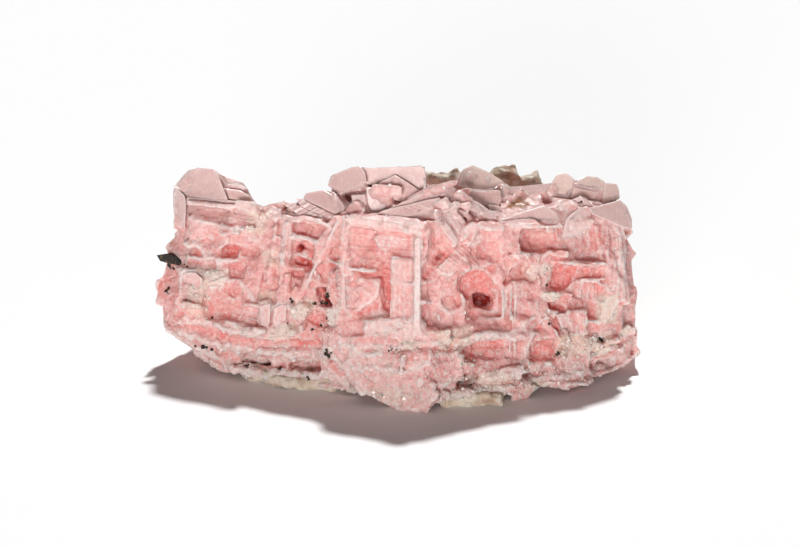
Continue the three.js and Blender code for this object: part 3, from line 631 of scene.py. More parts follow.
def lay_strand(space, tints, radius, paleness, places):
    """A thread of salt along a path: distance to the nearest of its segments, less its radius."""
    hits = first_hits(space, places)
    if hits is None:
        return
    lines = sight_lines(places)
    depth = np.linalg.norm(hits - EYE, axis=1)
    level = np.convolve(np.pad(depth, 1, mode="edge"), (0.25, 0.5, 0.25), mode="valid")
    sunk = 0.6 * radius if paleness < 0.85 else 0.1 * radius
    hits = EYE + (np.minimum(depth, level + 0.8) + sunk)[:, None] * lines
    for a, b in zip(hits, hits[1:]):
        low, high = np.minimum(a, b) - radius - REACH, np.maximum(a, b) + radius + REACH
        window, (x, y, z) = space.window(low, high)
        values = space.value[window]
        if not values.size:
            continue
        run = b - a
        along = ((x - a[0]) * run[0] + (y - a[1]) * run[1] + (z - a[2]) * run[2]) / (run @ run)
        along = np.clip(along, 0, 1)
        away = sum((g - a[k] - along * run[k]) ** 2 for k, g in enumerate((x, y, z)))
        distance = (np.sqrt(away) - radius).astype(np.float32)
        np.copyto(values, -smooth_most(-values, -np.maximum(distance, -REACH), MELT))
        near = 1 - smooth_step(0.1, 0.6, distance)
        tints["pale"].lay(window, near, paleness)
        tints["red"].lay(window, near, 0.0)


# %% [markdown]
# ## The halite
# The solid gives the big crystals. Many low blocks, scattered over it, come first. The tables below
# then add what is too small for the solid and has a place of its own: pits, plates and threads.

# %% everywhere alike
def grow(space, triangles, rng, count, kind):
    """Joins count small blocks of one kind, square to the faces that they sit on."""
    place, normal, along, third = scatter(triangles, count, rng)
    roll = np.radians(kind["roll"]) * rng.standard_normal(count)
    cos, sin = np.cos(roll)[:, None], np.sin(roll)[:, None]
    along, third = along * cos + third * sin, third * cos - along * sin
    sizes = [rng.uniform(*kind[side], count) for side in ("long", "wide", "deep")]
    sunk = rng.uniform(*kind["sunk"], count)
    for n in range(count):
        half = np.array([sizes[0][n], sizes[1][n], sizes[2][n]]) / 2
        centre = place[n] - normal[n] * sunk[n]
        axes = (along[n], third[n], normal[n])
        add_block(space, centre, axes, half, kind["rounding"])


# The range of each side and of the depth below the face in mm, the roll in degrees, the rounding in mm.
KNOBS = {"long": (0.9, 3.0), "wide": (0.9, 2.6), "deep": (1.2, 3.0), "sunk": (0.1, 0.7),
         "roll": 9, "rounding": 0.15}
STEPS = {"long": (3.0, 8.0), "wide": (2.0, 6.0), "deep": (0.8, 1.4), "sunk": (0.0, 0.3),
         "roll": 3, "rounding": 0.1}

# %% [markdown]
# ## Pits
# Where a cube grew only along its edges, its faces are left hollow: square-cornered pits, whose
# floors are painted red as shade and glow. A pit could be a sculpted dent, but a dent has soft
# walls. An outline that is carried inwards and cut away keeps its walls upright and its corners square.

# %% pits of the front
def paired(table):
    """The last entry of each row, a run of columns and rows, as one pair for each corner."""
    return [(*row[:-1], np.reshape(row[-1], (-1, 2))) for row in table]


# Each pit is its depth in mm, its redness, which paints shade and glow on its floor, and the column and row
# of each of its corners.
PITS = paired((
    # the knob at the upper left
    (0.5, 0.15, (200,172, 203,171, 219,196, 215,198)),
    (0.5, 0.30, (213,183, 222,184, 248,193, 246,196, 218,188)),
    (0.8, 0.45, (220,194, 225,195, 248,203, 246,205, 222,201)),
    # the left block
    (0.6, 0.50, (190,206, 230,210, 230,212, 190,208)),
    (0.7, 0.25, (187,208, 249,213, 251,226, 228,226, 196,218, 189,215)),
    (0.5, 0.70, (216,224, 232,226, 250,229, 250,231, 230,229)),
    (0.7, 0.35, (196,225, 216,227, 226,233, 224,244, 206,246, 197,240)),
    (1.5, 0.85, (187,251, 191,249, 200,251, 201,256, 195,256, 188,254)),
    (2.0, 0.85, (221,247, 226,245, 234,246, 238,250, 238,256, 232,258, 222,257)),
    (1.3, 0.75, (240,248, 257,251, 258,258, 254,260, 240,254)),
    (0.9, 0.50, (187,259, 215,261, 216,267, 200,269, 190,268)),
    (1.3, 0.60, (232,264, 238,262, 244,264, 245,270, 240,277, 232,277, 229,272)),
    (1.0, 0.25, (205,296, 210,290, 222,285, 236,286, 243,292, 246,302, 240,318, 208,318)),
    (0.6, 0.70, (228,292, 234,290, 238,296, 234,299)),
    (0.8, 0.70, (238,305, 250,308, 258,318, 258,325, 238,320, 232,312)),
    (0.8, 0.60, (202,324, 214,322, 216,330, 212,333, 204,330)),
    (1.2, 0.80, (216,334, 222,331, 226,335, 224,340, 214,340)),
    (1.5, 1.00, (273,301, 275,300, 276,305, 272,307)),
    (2.0, 1.00, (292,299, 296,300, 297,304, 290,307, 289,305)),
    # the window frame
    (1.2, 0.50, (290,242, 298,240, 318,244, 315,258, 291,255)),
    (4.0, 0.95, (293,253, 296,244, 300,244, 303,247, 302,253)),
    (3.5, 1.00, (290,265, 292,258, 296,256, 311,260, 309,270, 305,272, 290,267)),
    (1.0, 0.45, (295,233, 304,218, 326,228, 324,232, 316,240, 300,236)),
    (0.8, 0.75, (303,218, 328,228, 318,231, 305,223)),
    (1.2, 0.60, (320,263, 334,265, 332,284, 322,284)),
    (5.0, 1.25, (320,290, 324,288, 330,289, 333,293, 334,306, 328,308, 322,304)),
    (1.0, 0.75, (306,318, 314,314, 320,322, 318,327, 308,322)),
    # the foot at the left
    (1.0, 0.50, (226,337, 262,339, 278,344, 276,351, 250,349, 228,344)),
    (1.2, 0.70, (280,341, 290,339, 320,341, 328,348, 320,352, 296,352, 282,349)),
    (0.8, 0.40, (226,352, 240,352, 246,358, 240,366, 230,366)),
    (1.2, 0.65, (262,357, 276,355, 290,358, 292,364, 282,370, 270,367)),
    (1.3, 0.75, (296,360, 312,355, 320,360, 322,370, 310,374, 300,368)),
    (0.8, 0.90, (278,364, 288,362, 284,371, 277,370)),
    # the top
    (0.4, 0.30, (366,172, 416,170, 416,172, 366,174)),
    (2.5, 1.10, (343,212, 350,210, 364,213, 366,216, 346,217)),
    (0.4, 0.55, (450,181, 457,190, 456,193, 446,200, 447,190)),
    (0.6, 0.40, (456,206, 470,215, 464,224, 452,220, 450,212)),
    (0.4, 0.35, (475,190, 498,187, 500,194, 486,196)),
    (0.4, 0.30, (575,187, 592,190, 596,202, 580,197, 571,197)),
    (0.8, 0.50, (560,212, 576,204, 576,210, 565,218)),
    (0.8, 0.60, (560,228, 564,222, 568,224, 567,232, 561,235)),
    (2.0, 1.10, (556,233, 559,232, 561,237, 558,238)),
    # the central frame
    (0.8, 0.35, (350,229, 412,236, 412,252, 390,258, 352,256)),
    (1.2, 0.75, (350,227, 380,229, 412,233, 412,236, 380,233, 350,230)),
    (0.8, 0.60, (350,230, 355,231, 354,252, 350,248)),
    (0.4, 0.50, (358,254, 376,254, 374,257, 362,257)),
    (1.0, 0.60, (361,271, 372,268, 390,270, 388,276, 362,276)),
    (1.6, 0.75, (383,270, 391,270, 391,312, 384,305)),
    (1.6, 0.65, (358,313, 366,305, 380,300, 390,305, 390,314, 372,317, 360,318)),
    (1.2, 0.85, (420,284, 426,281, 430,284, 428,292, 422,300, 418,300)),
    (1.6, 0.90, (419,312, 424,304, 430,305, 434,315, 433,324, 428,328, 422,324)),
    (0.5, 0.45, (434,306, 450,308, 462,312, 460,322, 440,326, 434,322)),
    (0.8, 0.70, (431,235, 438,237, 436,246, 430,243)),
    (2.0, 1.10, (436,262, 441,255, 448,254, 444,258, 438,264)),
    (1.0, 0.85, (420,275, 432,268, 436,270, 428,278, 420,279)),
    # right of the middle
    (1.4, 0.75, (459,282, 466,274, 474,272, 486,276, 491,284, 490,294, 480,298, 464,298, 460,292)),
    (0.8, 0.60, (494,292, 500,290, 501,315, 476,316, 474,311)),
    (5.0, 1.20, (472,303, 478,298, 486,296, 492,297, 494,303, 490,309, 480,309)),
    (2.5, 1.30, (505,281, 508,278, 507,283, 504,288, 503,287)),
    (1.5, 0.60, (455,348, 470,342, 480,340, 486,345, 484,356, 470,360, 458,358)),
    (1.0, 1.00, (486,342, 492,340, 500,346, 496,350, 488,347)),
    (1.0, 0.55, (500,341, 516,338, 522,345, 518,354, 504,355)),
    (1.0, 0.90, (450,343, 456,341, 456,346, 449,350)),
    (2.0, 1.20, (511,253, 514,251, 516,254, 513,256)),
    (1.0, 0.60, (516,247, 522,240, 532,239, 546,245, 545,251, 520,253)),
    (0.6, 0.50, (524,229, 545,228, 556,230, 550,234, 530,238, 523,236)),
    (1.3, 0.80, (511,265, 524,266, 524,276, 530,281, 512,279)),
    (1.5, 0.85, (551,268, 560,266, 572,270, 572,284, 560,290, 548,290, 550,278)),
    (2.0, 1.05, (545,300, 560,302, 563,310, 560,312, 550,312, 546,306)),
    (0.9, 0.50, (568,292, 578,284, 590,282, 602,286, 606,291, 600,297, 588,300, 572,298)),
    (1.6, 0.80, (584,310, 588,304, 594,304, 599,310, 598,317, 590,321, 586,318)),
    (2.0, 1.00, (551,320, 556,319, 560,326, 563,332, 560,336, 556,330)),
    (0.8, 0.60, (534,330, 544,325, 552,332, 556,337, 545,334)),
    (1.4, 0.65, (527,350, 528,342, 532,338, 540,340, 548,342, 553,348, 554,354, 548,360, 535,362, 526,360)),
    (2.0, 0.80, (519,382, 524,374, 532,370, 540,368, 546,372, 545,380, 540,385, 524,384)),
    (1.0, 0.70, (551,360, 556,358, 562,366, 566,371, 558,370)),
    (1.2, 0.75, (585,327, 590,324, 600,323, 606,330, 600,336, 586,336)),
    (2.0, 1.00, (594,343, 597,335, 603,333, 607,337, 604,344)),
    (1.2, 0.60, (592,358, 604,350, 616,347, 620,352, 606,356, 594,362)),
    (1.0, 0.70, (604,364, 610,360, 615,361, 613,366, 607,368)),
    (1.3, 0.80, (597,226, 600,226, 604,245, 609,262, 606,263, 600,250)),
    # the keel and the foot at the right
    (0.8, 0.50, (389,348, 394,345, 399,350, 396,352)),
    (0.6, 0.50, (384,380, 396,371, 401,371, 398,376, 388,381)),
    (1.2, 0.60, (440,388, 457,381, 457,387, 442,390)),
    (4.0, 1.10, (457,381, 464,376, 472,375, 478,379, 476,385, 466,388, 458,387)),
))

# %% [markdown]
# ## Lumps
# Between the pits stand low lumps, where later salt has coated a ledge. They are made as the pits
# are, from an outline, but joined and not cut. A wide blend makes each grow out of the salt.

# %% lumps of the front
# Each is its rise in mm, its paleness, its creaminess, and its corners.
LUMPS = paired((
    (0.2, 0.2, 0.0, (434,214, 456,208, 468,222, 470,246, 456,252, 438,240)),
    (0.3, 0.8, 0.0, (216,184, 226,183, 247,184, 248,190, 238,190)),
    (0.5, 0.9, 0.1, (182,240, 190,241, 199,244, 198,248, 184,246)),
    (0.6, 0.9, 0.4, (184,268, 199,270, 215,273, 226,276, 222,280, 206,279, 190,274)),
    (0.5, 0.6, 0.2, (216,321, 221,320, 232,327, 258,331, 262,336, 250,336, 226,331)),
    (1.0, 0.9, 0.8, (265,329, 275,328, 288,324, 298,330, 295,335, 284,337, 270,338)),
    (1.2, 1.0, 0.7, (291,308, 298,304, 308,302, 311,308, 306,316, 298,318, 291,314)),
    (0.8, 1.0, 0.3, (327,308, 340,307, 341,325, 328,326)),
    (0.6, 0.8, 0.6, (280,345, 288,344, 290,349, 282,351)),
    (0.8, 0.9, 0.1, (364,318, 372,317, 391,316, 414,318, 421,322, 424,332, 412,338, 390,336, 366,330)),
    (0.4, 0.9, 0.0, (440,268, 450,264, 455,270, 452,278, 442,276)),
    (0.6, 0.8, 0.1, (460,352, 465,354, 463,366, 456,372, 457,360)),
    (1.0, 0.7, 0.5, (524,270, 530,265, 540,265, 550,265, 551,272, 549,280, 540,285, 530,280)),
    (0.6, 1.0, 1.0, (542,294, 548,293, 560,295, 558,298, 544,298)),
    (0.4, 0.2, 0.0, (545,299, 556,299, 562,304, 558,305)),
    (0.7, 1.0, 0.8, (600,300, 612,296, 616,300, 614,312, 606,320, 598,320, 600,310)),
    (0.6, 1.0, 0.8, (604,344, 612,338, 625,328, 632,326, 628,334, 616,344, 604,352, 596,352)),
    (0.5, 0.9, 0.1, (338,340, 342,336, 345,346, 360,350, 372,354, 366,356, 348,352)),
    (0.5, 1.0, 0.8, (401,343, 410,342, 416,346, 412,352, 402,350)),
    (0.6, 0.9, 0.4, (386,368, 392,366, 397,370, 394,373, 387,372)),
    (0.7, 0.9, 0.7, (440,395, 470,388, 500,386, 520,384, 551,382, 548,386, 520,393, 500,398, 460,400)),
))

# %% [markdown]
# ## Plates
# A few thin crystals lie against the front with flat, clean faces. They are lumps with hardly any
# rounding or blend, and they come after the faces have been broken into steps, so they stay flat.

# %% plates of the front
# The same numbers as a lump's.
PLATES = paired((
    (0.4, 0.5, 0.0, (284,222, 292,220, 291,262, 283,262)),
    (0.3, 0.6, 0.0, (616,222, 624,222, 626,250, 624,290, 620,290)),
    (0.6, 0.9, 0.0, (345,219, 348,216, 372,215, 400,222, 419,224, 419,232, 400,231, 372,226, 352,224)),
    (0.3, 0.7, 0.0, (377,240, 384,237, 404,237, 405,242, 396,246, 378,247)),
    (0.5, 0.15, 0.0, (392,255, 412,258, 411,318, 390,318)),
    (0.7, 0.75, 0.0, (414,240, 417,237, 420,238, 421,330, 414,330)),
))

# %% [markdown]
# ## Threads and rims
# The edges of the hoppers stand out as whitish threads. A curve with a round section would meet the
# salt in a hard line and need its ends closed. The distance to a path, less a radius, can be joined
# with a blend like every other shape, and its ends come out round.

# %% threads and rims of the front
# Each is its radius in mm, its paleness, and its path.
THREADS = paired((
    (0.35, 0.9, (174,186, 182,190, 187,197)),
    (0.35, 0.9, (186,206, 187,212, 190,217, 196,220, 205,222, 214,224, 222,226, 232,228, 249,231)),
    (0.60, 0.9, (199,246, 203,251, 206,256, 213,257)),
    (0.35, 0.9, (186,256, 193,258, 205,259, 213,258, 220,259, 228,261, 236,260)),
    (0.35, 0.8, (217,259, 218,270)),
    (0.35, 0.8, (219,262, 226,272, 230,280)),
    (0.40, 0.9, (180,296, 182,272, 185,270, 196,271)),
    (0.40, 0.9, (201,290, 206,287, 214,283, 222,279, 230,281)),
    (0.35, 0.6, (236,310, 247,311, 258,315)),
    (0.35, 0.6, (234,315, 246,317, 258,321)),
    (0.40, 0.9, (242,284, 248,290, 252,297, 256,303)),
    (0.40, 0.9, (216,318, 220,326, 228,331, 240,332, 252,335, 258,338)),
    (0.35, 0.9, (270,303, 269,320)),
    (0.35, 0.9, (275,307, 282,303, 288,307)),
    (0.40, 0.9, (283,222, 283,262)),
    (0.35, 0.9, (292,237, 300,236, 308,238, 318,242)),
    (0.40, 1.0, (280,255, 290,255, 297,254, 303,255, 312,259, 330,260, 340,264, 350,268, 362,270, 370,271)),
    (0.40, 0.9, (262,208, 280,211, 300,216, 318,222, 335,228)),
    (0.40, 0.8, (338,222, 320,256, 304,290)),
    # the foot at the left
    (0.45, 1.0, (205,342, 220,345, 235,348, 250,351, 265,353, 280,354, 295,356, 310,354, 320,353, 332,358,
     345,367)),
    (0.60, 1.0, (166,323, 168,330, 178,336, 188,342, 198,348, 212,355, 222,359, 226,367, 240,371, 255,370,
     270,371, 285,373, 298,376, 315,381)),
    # the top
    (0.35, 0.9, (364,170, 400,168, 420,167)),
    (0.35, 0.9, (423,169, 424,180, 425,190)),
    (0.35, 0.7, (380,181, 395,176, 408,182, 420,190)),
    (0.35, 0.6, (402,212, 420,205, 438,196)),
    (0.35, 0.6, (415,215, 430,206, 440,202)),
    (0.45, 1.0, (460,195, 475,200, 488,209, 496,217)),
    (0.40, 0.9, (470,190, 484,191, 497,188)),
    (0.45, 1.0, (464,228, 470,225, 480,227, 490,229, 503,228)),
    (0.70, 0.8, (464,236, 463,231, 467,228, 474,229, 478,235, 478,240, 472,243)),
    (0.35, 0.7, (430,215, 447,204, 457,205)),
    (0.40, 0.9, (548,193, 556,196, 567,198, 574,184)),
    (0.40, 0.7, (558,206, 570,202, 580,197, 590,203, 594,208)),
    (0.40, 0.9, (503,222, 512,226, 530,226, 558,227)),
    (0.35, 0.8, (562,237, 575,235, 586,232)),
    # the central frame
    (0.35, 0.7, (349,288, 355,283, 362,280, 372,280, 378,284, 382,292, 384,300)),
    (0.35, 0.6, (352,292, 358,288, 366,290, 370,296, 368,304, 360,308)),
    (0.35, 0.6, (350,312, 362,306, 372,300, 378,294)),
    (0.30, 0.6, (394,262, 394,315)),
    (0.30, 0.6, (399,262, 399,312)),
    (0.30, 0.6, (406,262, 406,312)),
    (0.35, 0.9, (391,281, 398,282, 406,284, 414,283, 422,281, 433,281)),
    (0.40, 0.8, (418,302, 424,301, 432,303, 440,308, 450,312)),
    (0.35, 0.7, (436,270, 447,261, 458,252)),
    (0.35, 0.7, (440,273, 452,264, 464,256)),
    (0.35, 0.6, (446,276, 456,268, 467,261)),
    # right of the middle
    (0.50, 0.6, (460,275, 466,270, 476,267, 486,270, 494,278, 497,282)),
    (0.35, 0.7, (496,289, 498,311, 478,313)),
    (0.35, 0.7, (502,287, 503,318, 480,319)),
    (0.30, 0.6, (506,288, 505,316)),
    (0.30, 0.6, (511,287, 510,318)),
    (0.30, 0.6, (516,288, 514,322)),
    (0.90, 1.0, (470,341, 476,335, 490,333, 505,334, 519,335, 533,333)),
    (0.40, 0.9, (450,358, 456,352, 464,346, 472,341)),
    (0.30, 0.6, (505,340, 505,354)),
    (0.30, 0.6, (510,339, 510,354)),
    (0.30, 0.6, (515,339, 515,353)),
    (0.45, 0.9, (514,255, 525,254, 536,254, 543,256)),
    (0.35, 0.7, (560,262, 575,262, 590,263, 606,264)),
    (0.40, 0.8, (566,291, 572,284, 582,280, 594,281, 604,285, 608,290, 604,296, 596,300)),
    (0.30, 0.6, (582,282, 580,298)),
    (0.30, 0.6, (591,283, 586,299)),
    (0.40, 0.9, (586,322, 596,321, 606,320, 614,314)),
    (0.45, 0.9, (520,330, 526,322, 536,315, 548,311, 560,314)),
    (0.35, 0.7, (529,331, 536,322, 548,318)),
    (0.60, 0.8, (533,333, 529,340, 526,350, 524,360, 521,368, 518,378)),
    (0.55, 1.0, (589,358, 598,353, 608,348, 616,346, 622,350)),
    (0.45, 0.9, (590,368, 600,362, 612,358, 624,356)),
    (0.45, 0.6, (602,222, 606,250, 612,285, 616,305)),
    (0.45, 0.6, (609,220, 613,245, 616,290)),
    (0.50, 0.7, (615,222, 620,240, 623,270, 624,298)),
    # the keel
    (0.40, 0.9, (362,352, 368,356, 374,354, 380,351)),
    (0.50, 0.9, (323,347, 334,355, 343,367, 353,380, 368,391, 384,401, 398,407, 412,409, 423,407, 433,399)),
))

# %% [markdown]
# ## Scalloped ledges
# The foot has been wet and has dried again, and its edges hang in small scallops. They are threads
# whose path follows the absolute value of a sine: each half wave is one scallop.

# %% scalloped ledges of the foot
# Radius in mm, depth in rows of each scallop, and the line along which the scallops hang.
LEDGES = paired((
    (0.8, 3.0, (186,331, 200,337, 216,342, 236,347, 262,350, 290,351, 312,350, 326,347)),
    (0.9, 3.5, (230,364, 242,369, 262,372, 285,372, 306,374, 330,372, 350,383, 364,389)),
    (0.6, 2.5, (238,352, 262,358, 290,358, 316,357, 330,356)),
    (0.9, 3.0, (434,397, 446,394, 470,391, 495,388, 520,382, 545,376, 568,375, 590,369, 606,364, 614,361)),
    (0.5, 2.0, (440,384, 456,377, 480,378, 504,374, 530,368, 552,362)),
    (0.6, 2.0, (594,336, 604,332, 614,328)),
    (0.5, 2.0, (456,344, 470,339, 490,336, 515,336, 533,334)),
    (0.5, 2.0, (186,318, 200,321, 214,323, 232,330, 250,332, 268,330)),
    (0.5, 2.0, (340,342, 356,346, 372,344, 392,347, 410,343, 430,341, 448,345)),
    (0.5, 2.5, (345,364, 362,368, 380,366, 400,370, 418,366, 430,360)),
))


def scalloped(path, swag, width=11.0):
    """Points along a path that hang down by swag * |sin(pi * length / width)| rows."""
    path = np.array(path, float)
    length = np.concatenate([[0], np.cumsum(np.linalg.norm(np.diff(path, axis=0), axis=1))])
    spots = np.arange(0, length[-1], width / 4)
    columns, rows = (np.interp(spots, length, path[:, axis]) for axis in (0, 1))
    uneven = 1 + 0.5 * np.sin(spots * 0.37)
    return np.stack([columns, rows + swag * uneven * np.abs(np.sin(np.pi * spots / width))], 1)


# %% [markdown]
# ## Striped faces and tinted places
# Fine growth lines cross many faces, and pale, cream, tan and red tints lie over several crystals at
# once. Pale and cream are the salt's own colour. Red is painted shade in recesses and on the shaded
# left flank, and tan is crust colour in painted shade behind the slab at the top right. Neither
# changes the shape, so both are kept as numbers on the vertices, which the finish reads later. A
# pattern in the finish alone would not know which crystal it is on.

# %% striped faces and tinted places
# Each striped face is the turn of its stripes in degrees, 0 for upright ones, and its corners.
STRIPED = paired((
    (0, (391,258, 412,258, 412,316, 391,316)),
    (0, (500,285, 522,285, 522,318, 500,318)),
    (0, (500,340, 522,340, 520,356, 500,356)),
    (0, (560,280, 604,282, 604,298, 566,298)),
    (0, (560,314, 585,314, 585,334, 560,334)),
    (0, (526,342, 552,342, 550,358, 528,358)),
    (0, (228,262, 246,262, 244,277, 230,277)),
    (0, (270,290, 290,290, 290,304, 270,304)),
    (-4, (600,222, 626,222, 626,305, 612,305)),
    (-5, (283,222, 292,222, 291,262, 283,262)),
    (-8, (333,270, 346,270, 346,315, 333,315)),
    (-2, (340,262, 350,262, 349,318, 343,318)),
    (22, (322,262, 342,222, 348,222, 310,300, 302,298)),
    (52, (434,262, 464,245, 476,262, 446,280)),
    (65, (392,205, 446,182, 450,200, 400,214)),
    (-55, (436,216, 446,212, 466,240, 456,244)),
    (-60, (262,208, 300,198, 335,222, 330,230)),
    (-60, (457,194, 497,214, 497,220, 460,204)),
    (80, (190,206, 250,210, 250,226, 192,219)),
    (75, (228,303, 258,312, 258,327, 230,320)),
    (72, (216,322, 260,331, 262,338, 226,332)),
    (-40, (186,172, 216,170, 226,198, 200,198)),
    (85, (350,228, 412,234, 412,256, 350,252)),
))
# Each tinted place is its colour, its strength and its corners. The red places are painted shade, and the
# first tan one is crust in painted shade.
TINTED = paired((
    # The first is crust colour in painted shade, behind the slab at the top right.
    ("tan", 0.9, (497,217, 503,220, 545,206, 547,192, 535,186, 524,206, 512,204)),
    ("tan", 0.5, (560,348, 568,350, 566,356, 556,356)),
    ("cream", 0.6, (189,285, 206,285, 206,316, 190,314)),
    ("cream", 0.6, (250,213, 268,213, 262,234, 248,232)),
    ("cream", 0.7, (264,252, 276,252, 276,264, 266,264)),
    ("cream", 0.6, (200,268, 226,272, 222,286, 200,286)),
    ("cream", 0.7, (260,294, 272,294, 270,304, 260,302)),
    ("cream", 0.8, (560,336, 610,336, 606,354, 560,352)),
    ("cream", 0.8, (600,297, 617,297, 615,322, 598,320)),
    ("cream", 0.6, (436,332, 470,326, 470,342, 440,348)),
    ("cream", 0.5, (360,394, 400,404, 412,396, 380,388)),
    ("cream", 0.6, (470,376, 500,372, 515,384, 470,392)),
    # Painted shade: the shaded left flank and dark recesses, tinted red.
    ("red", 0.7, (165,234, 182,234, 182,256, 166,252)),
    ("red", 0.6, (318,262, 334,264, 334,290, 320,290)),
    ("red", 0.6, (548,262, 600,266, 600,282, 550,288)),
    ("red", 0.5, (420,262, 436,262, 436,280, 420,280)),
    ("red", 0.5, (456,270, 494,270, 496,318, 460,312)),
    ("red", 0.6, (176,258, 184,262, 182,300, 170,290)),
    ("pale", 0.9, (184,197, 256,203, 258,210, 186,206)),
    ("pale", 0.6, (183,206, 190,208, 192,240, 184,262)),
    ("pale", 0.7, (252,208, 300,214, 296,221, 254,218)),
    ("pale", 0.5, (182,268, 226,273, 222,290, 182,298)),
    ("pale", 0.9, (362,166, 424,166, 427,192, 404,182, 364,184)),
    ("pale", 0.9, (345,216, 419,224, 419,233, 348,224)),
    ("pale", 0.9, (413,236, 421,236, 421,338, 413,334)),
    ("pale", 0.8, (364,317, 424,320, 424,340, 366,334)),
    ("pale", 0.4, (344,218, 351,224, 351,320, 343,318)),
    ("pale", 0.5, (186,169, 248,184, 250,200, 180,198, 174,186)),
    ("pale", 0.6, (500,220, 545,205, 560,225, 515,227)),
    ("pale", 0.8, (546,172, 604,177, 600,205, 548,200)),
    ("pale", 0.7, (566,212, 588,212, 588,236, 562,238)),
    ("pale", 0.6, (616,222, 627,222, 627,300, 618,300)),
    ("pale", 0.5, (624,204, 641,250, 641,360, 625,362)),
    ("pale", 0.4, (320,335, 350,340, 446,396, 412,411, 340,370)),
    ("pale", 0.6, (160,320, 200,345, 228,360, 228,374, 165,335)),
    ("pale", 0.4, (556,352, 590,352, 592,378, 560,388)),
    ("pale", 0.4, (180,228, 262,228, 262,244, 180,246)),
    ("pale", 0.5, (455,168, 475,165, 515,192, 500,200, 470,190)),
    ("pale", 0.4, (326,176, 362,166, 366,186, 340,192)),
))


# %% numbers for the vertices
def inside_outline(shown, outline, soft):
    """1 inside a convex outline of columns and rows, falling to 0 within soft columns outside it."""
    outline = np.asarray(outline, float)
    centre = outline.mean(0)
    outline = outline[np.argsort(np.arctan2(*(outline - centre).T[::-1]))]
    most = np.full(len(shown), -np.inf)
    for a, b in zip(outline, np.roll(outline, -1, axis=0)):
        edge = b - a
        out = np.array([edge[1], -edge[0]]) / np.linalg.norm(edge)
        most = np.maximum(most, (shown - a) @ out)
    return 1 - smooth_step(0, soft, most)


def facing_share(points, normals):
    """1 on what faces the eye in the front half of the cluster."""
    facing = smooth_step(0.0, 0.3, -(normals @ AHEAD))
    return facing * (1 - smooth_step(-4, 2, points[:, 1]))


def stripes(points, normals):
    """How striped each point is, and its distance across the stripes in mm: its column and row,
    turned by the angle of the stripes."""
    shown = shown_at(points)
    striped, across = np.zeros(len(points)), shown[:, 0] / PER_MM
    for turn, outline in STRIPED:
        share = inside_outline(shown, outline, 4)
        angle = math.radians(turn)
        along = (shown[:, 0] * math.cos(angle) - shown[:, 1] * math.sin(angle)) / PER_MM
        across = np.where(share > 0, along, across)
        striped = np.maximum(striped, share)
    return striped * facing_share(points, normals), across


# %% [markdown]
# ## Melting the hollows
# In damp air, salt fills its own inner corners first. Blurring the share of solid round each point
# and keeping what is more than so full does the same. A bevel could not, because these corners are
# where hundreds of blocks cross, and have no edges of their own.

# %% melting the hollows
def melt(space, radius, share, lowest, highest):
    """Fills corners more than share shut in, between two heights: solid share as a distance."""
    solid = np.clip(0.5 - space.value / space.step, 0, 1)
    shut = box_blur(box_blur(solid, radius), radius)
    width = (2 * radius + 1) * space.step
    height = space.low[2] + space.step * np.arange(space.shape[2])
    outside = 1 - smooth_step(lowest - 2, lowest, height) * (1 - smooth_step(highest, highest + 2, height))
    filled = np.maximum(width * (share - shut) + REACH * outside, -REACH).astype(np.float32)
    np.minimum(space.value, filled, out=space.value)


# %% [markdown]
# ## Breaking the faces into steps
# A crystal face that looks flat is a stair of little bricks. Random numbers laid out like a wall of
# bricks, in three sizes, are added to the distances near the surface. The bricks are turned to lie
# along each side of the front, and a few calm faces get less of them.

# %% breaking the faces into steps
CALM = ((215, 190, 42, 22), (375, 182, 50, 18), (486, 186, 30, 18), (530, 217, 30, 12),
        (560, 188, 16, 16), (592, 190, 18, 14), (577, 224, 12, 14), (164, 290, 12, 60),
        (634, 290, 11, 80))  # column, row and half sizes


def break_up(space):
    """Near the surface, adds brick noise of three sizes to the distances, less on the calm faces."""
    near = np.abs(space.value) < 0.95 * REACH
    index = np.argwhere(near)
    points = space.low + space.step * index
    shown = shown_at(points)
    strength = np.ones(len(points))
    for column, row, half_wide, half_high in CALM:
        away = np.hypot((shown[:, 0] - column) / half_wide, (shown[:, 1] - row) / half_high)
        strength *= 0.3 + 0.7 * smooth_step(0.8, 1.15, away)
    left = points[:, 0] < AIM[0] + (PROW_COLUMN - COLUMNS / 2) / PER_MM
    turn = np.where(left, WEDGE[0], -WEDGE[1])
    turned = points.copy()
    turned[:, 0] = points[:, 0] * np.cos(turn) - points[:, 1] * np.sin(turn)
    turned[:, 1] = points[:, 0] * np.sin(turn) + points[:, 1] * np.cos(turn)
    turned += 0.35 * np.stack([noise(points, 3.0, 61 + k) for k in range(3)], -1)
    change = np.zeros(len(points))
    for size, height, seed in ((4.1, 0.34, 71), (2.0, 0.26, 73), (1.1, 0.18, 75)):
        change += height * brick_noise(turned, size, seed)
    space.value[near] += (strength * change).astype(np.float32)


# %% [markdown]
# ## The top line
# Against a pale background the upper edge shows every stray lump. One line of columns and rows says
# how high the salt may reach, and what shows above it is cut away along the lines of sight.

# %% the top line
# Column and row of each corner of the line.
SKYLINE = np.reshape((
    150,190, 173,190, 176,184, 188,170, 213,169, 222,176, 235,179, 247,189, 257,204, 265,205, 281,202,
    294,201, 303,198, 312,190, 324,189, 331,175, 352,167, 421,166, 425,169, 427,186, 449,181, 457,180,
    464,168, 474,165, 487,171, 503,180, 514,188, 530,193, 546,192, 557,174, 562,172, 577,179, 586,176,
    598,177, 605,182, 617,184, 620,199, 632,219, 660,219,
), (-1, 2))


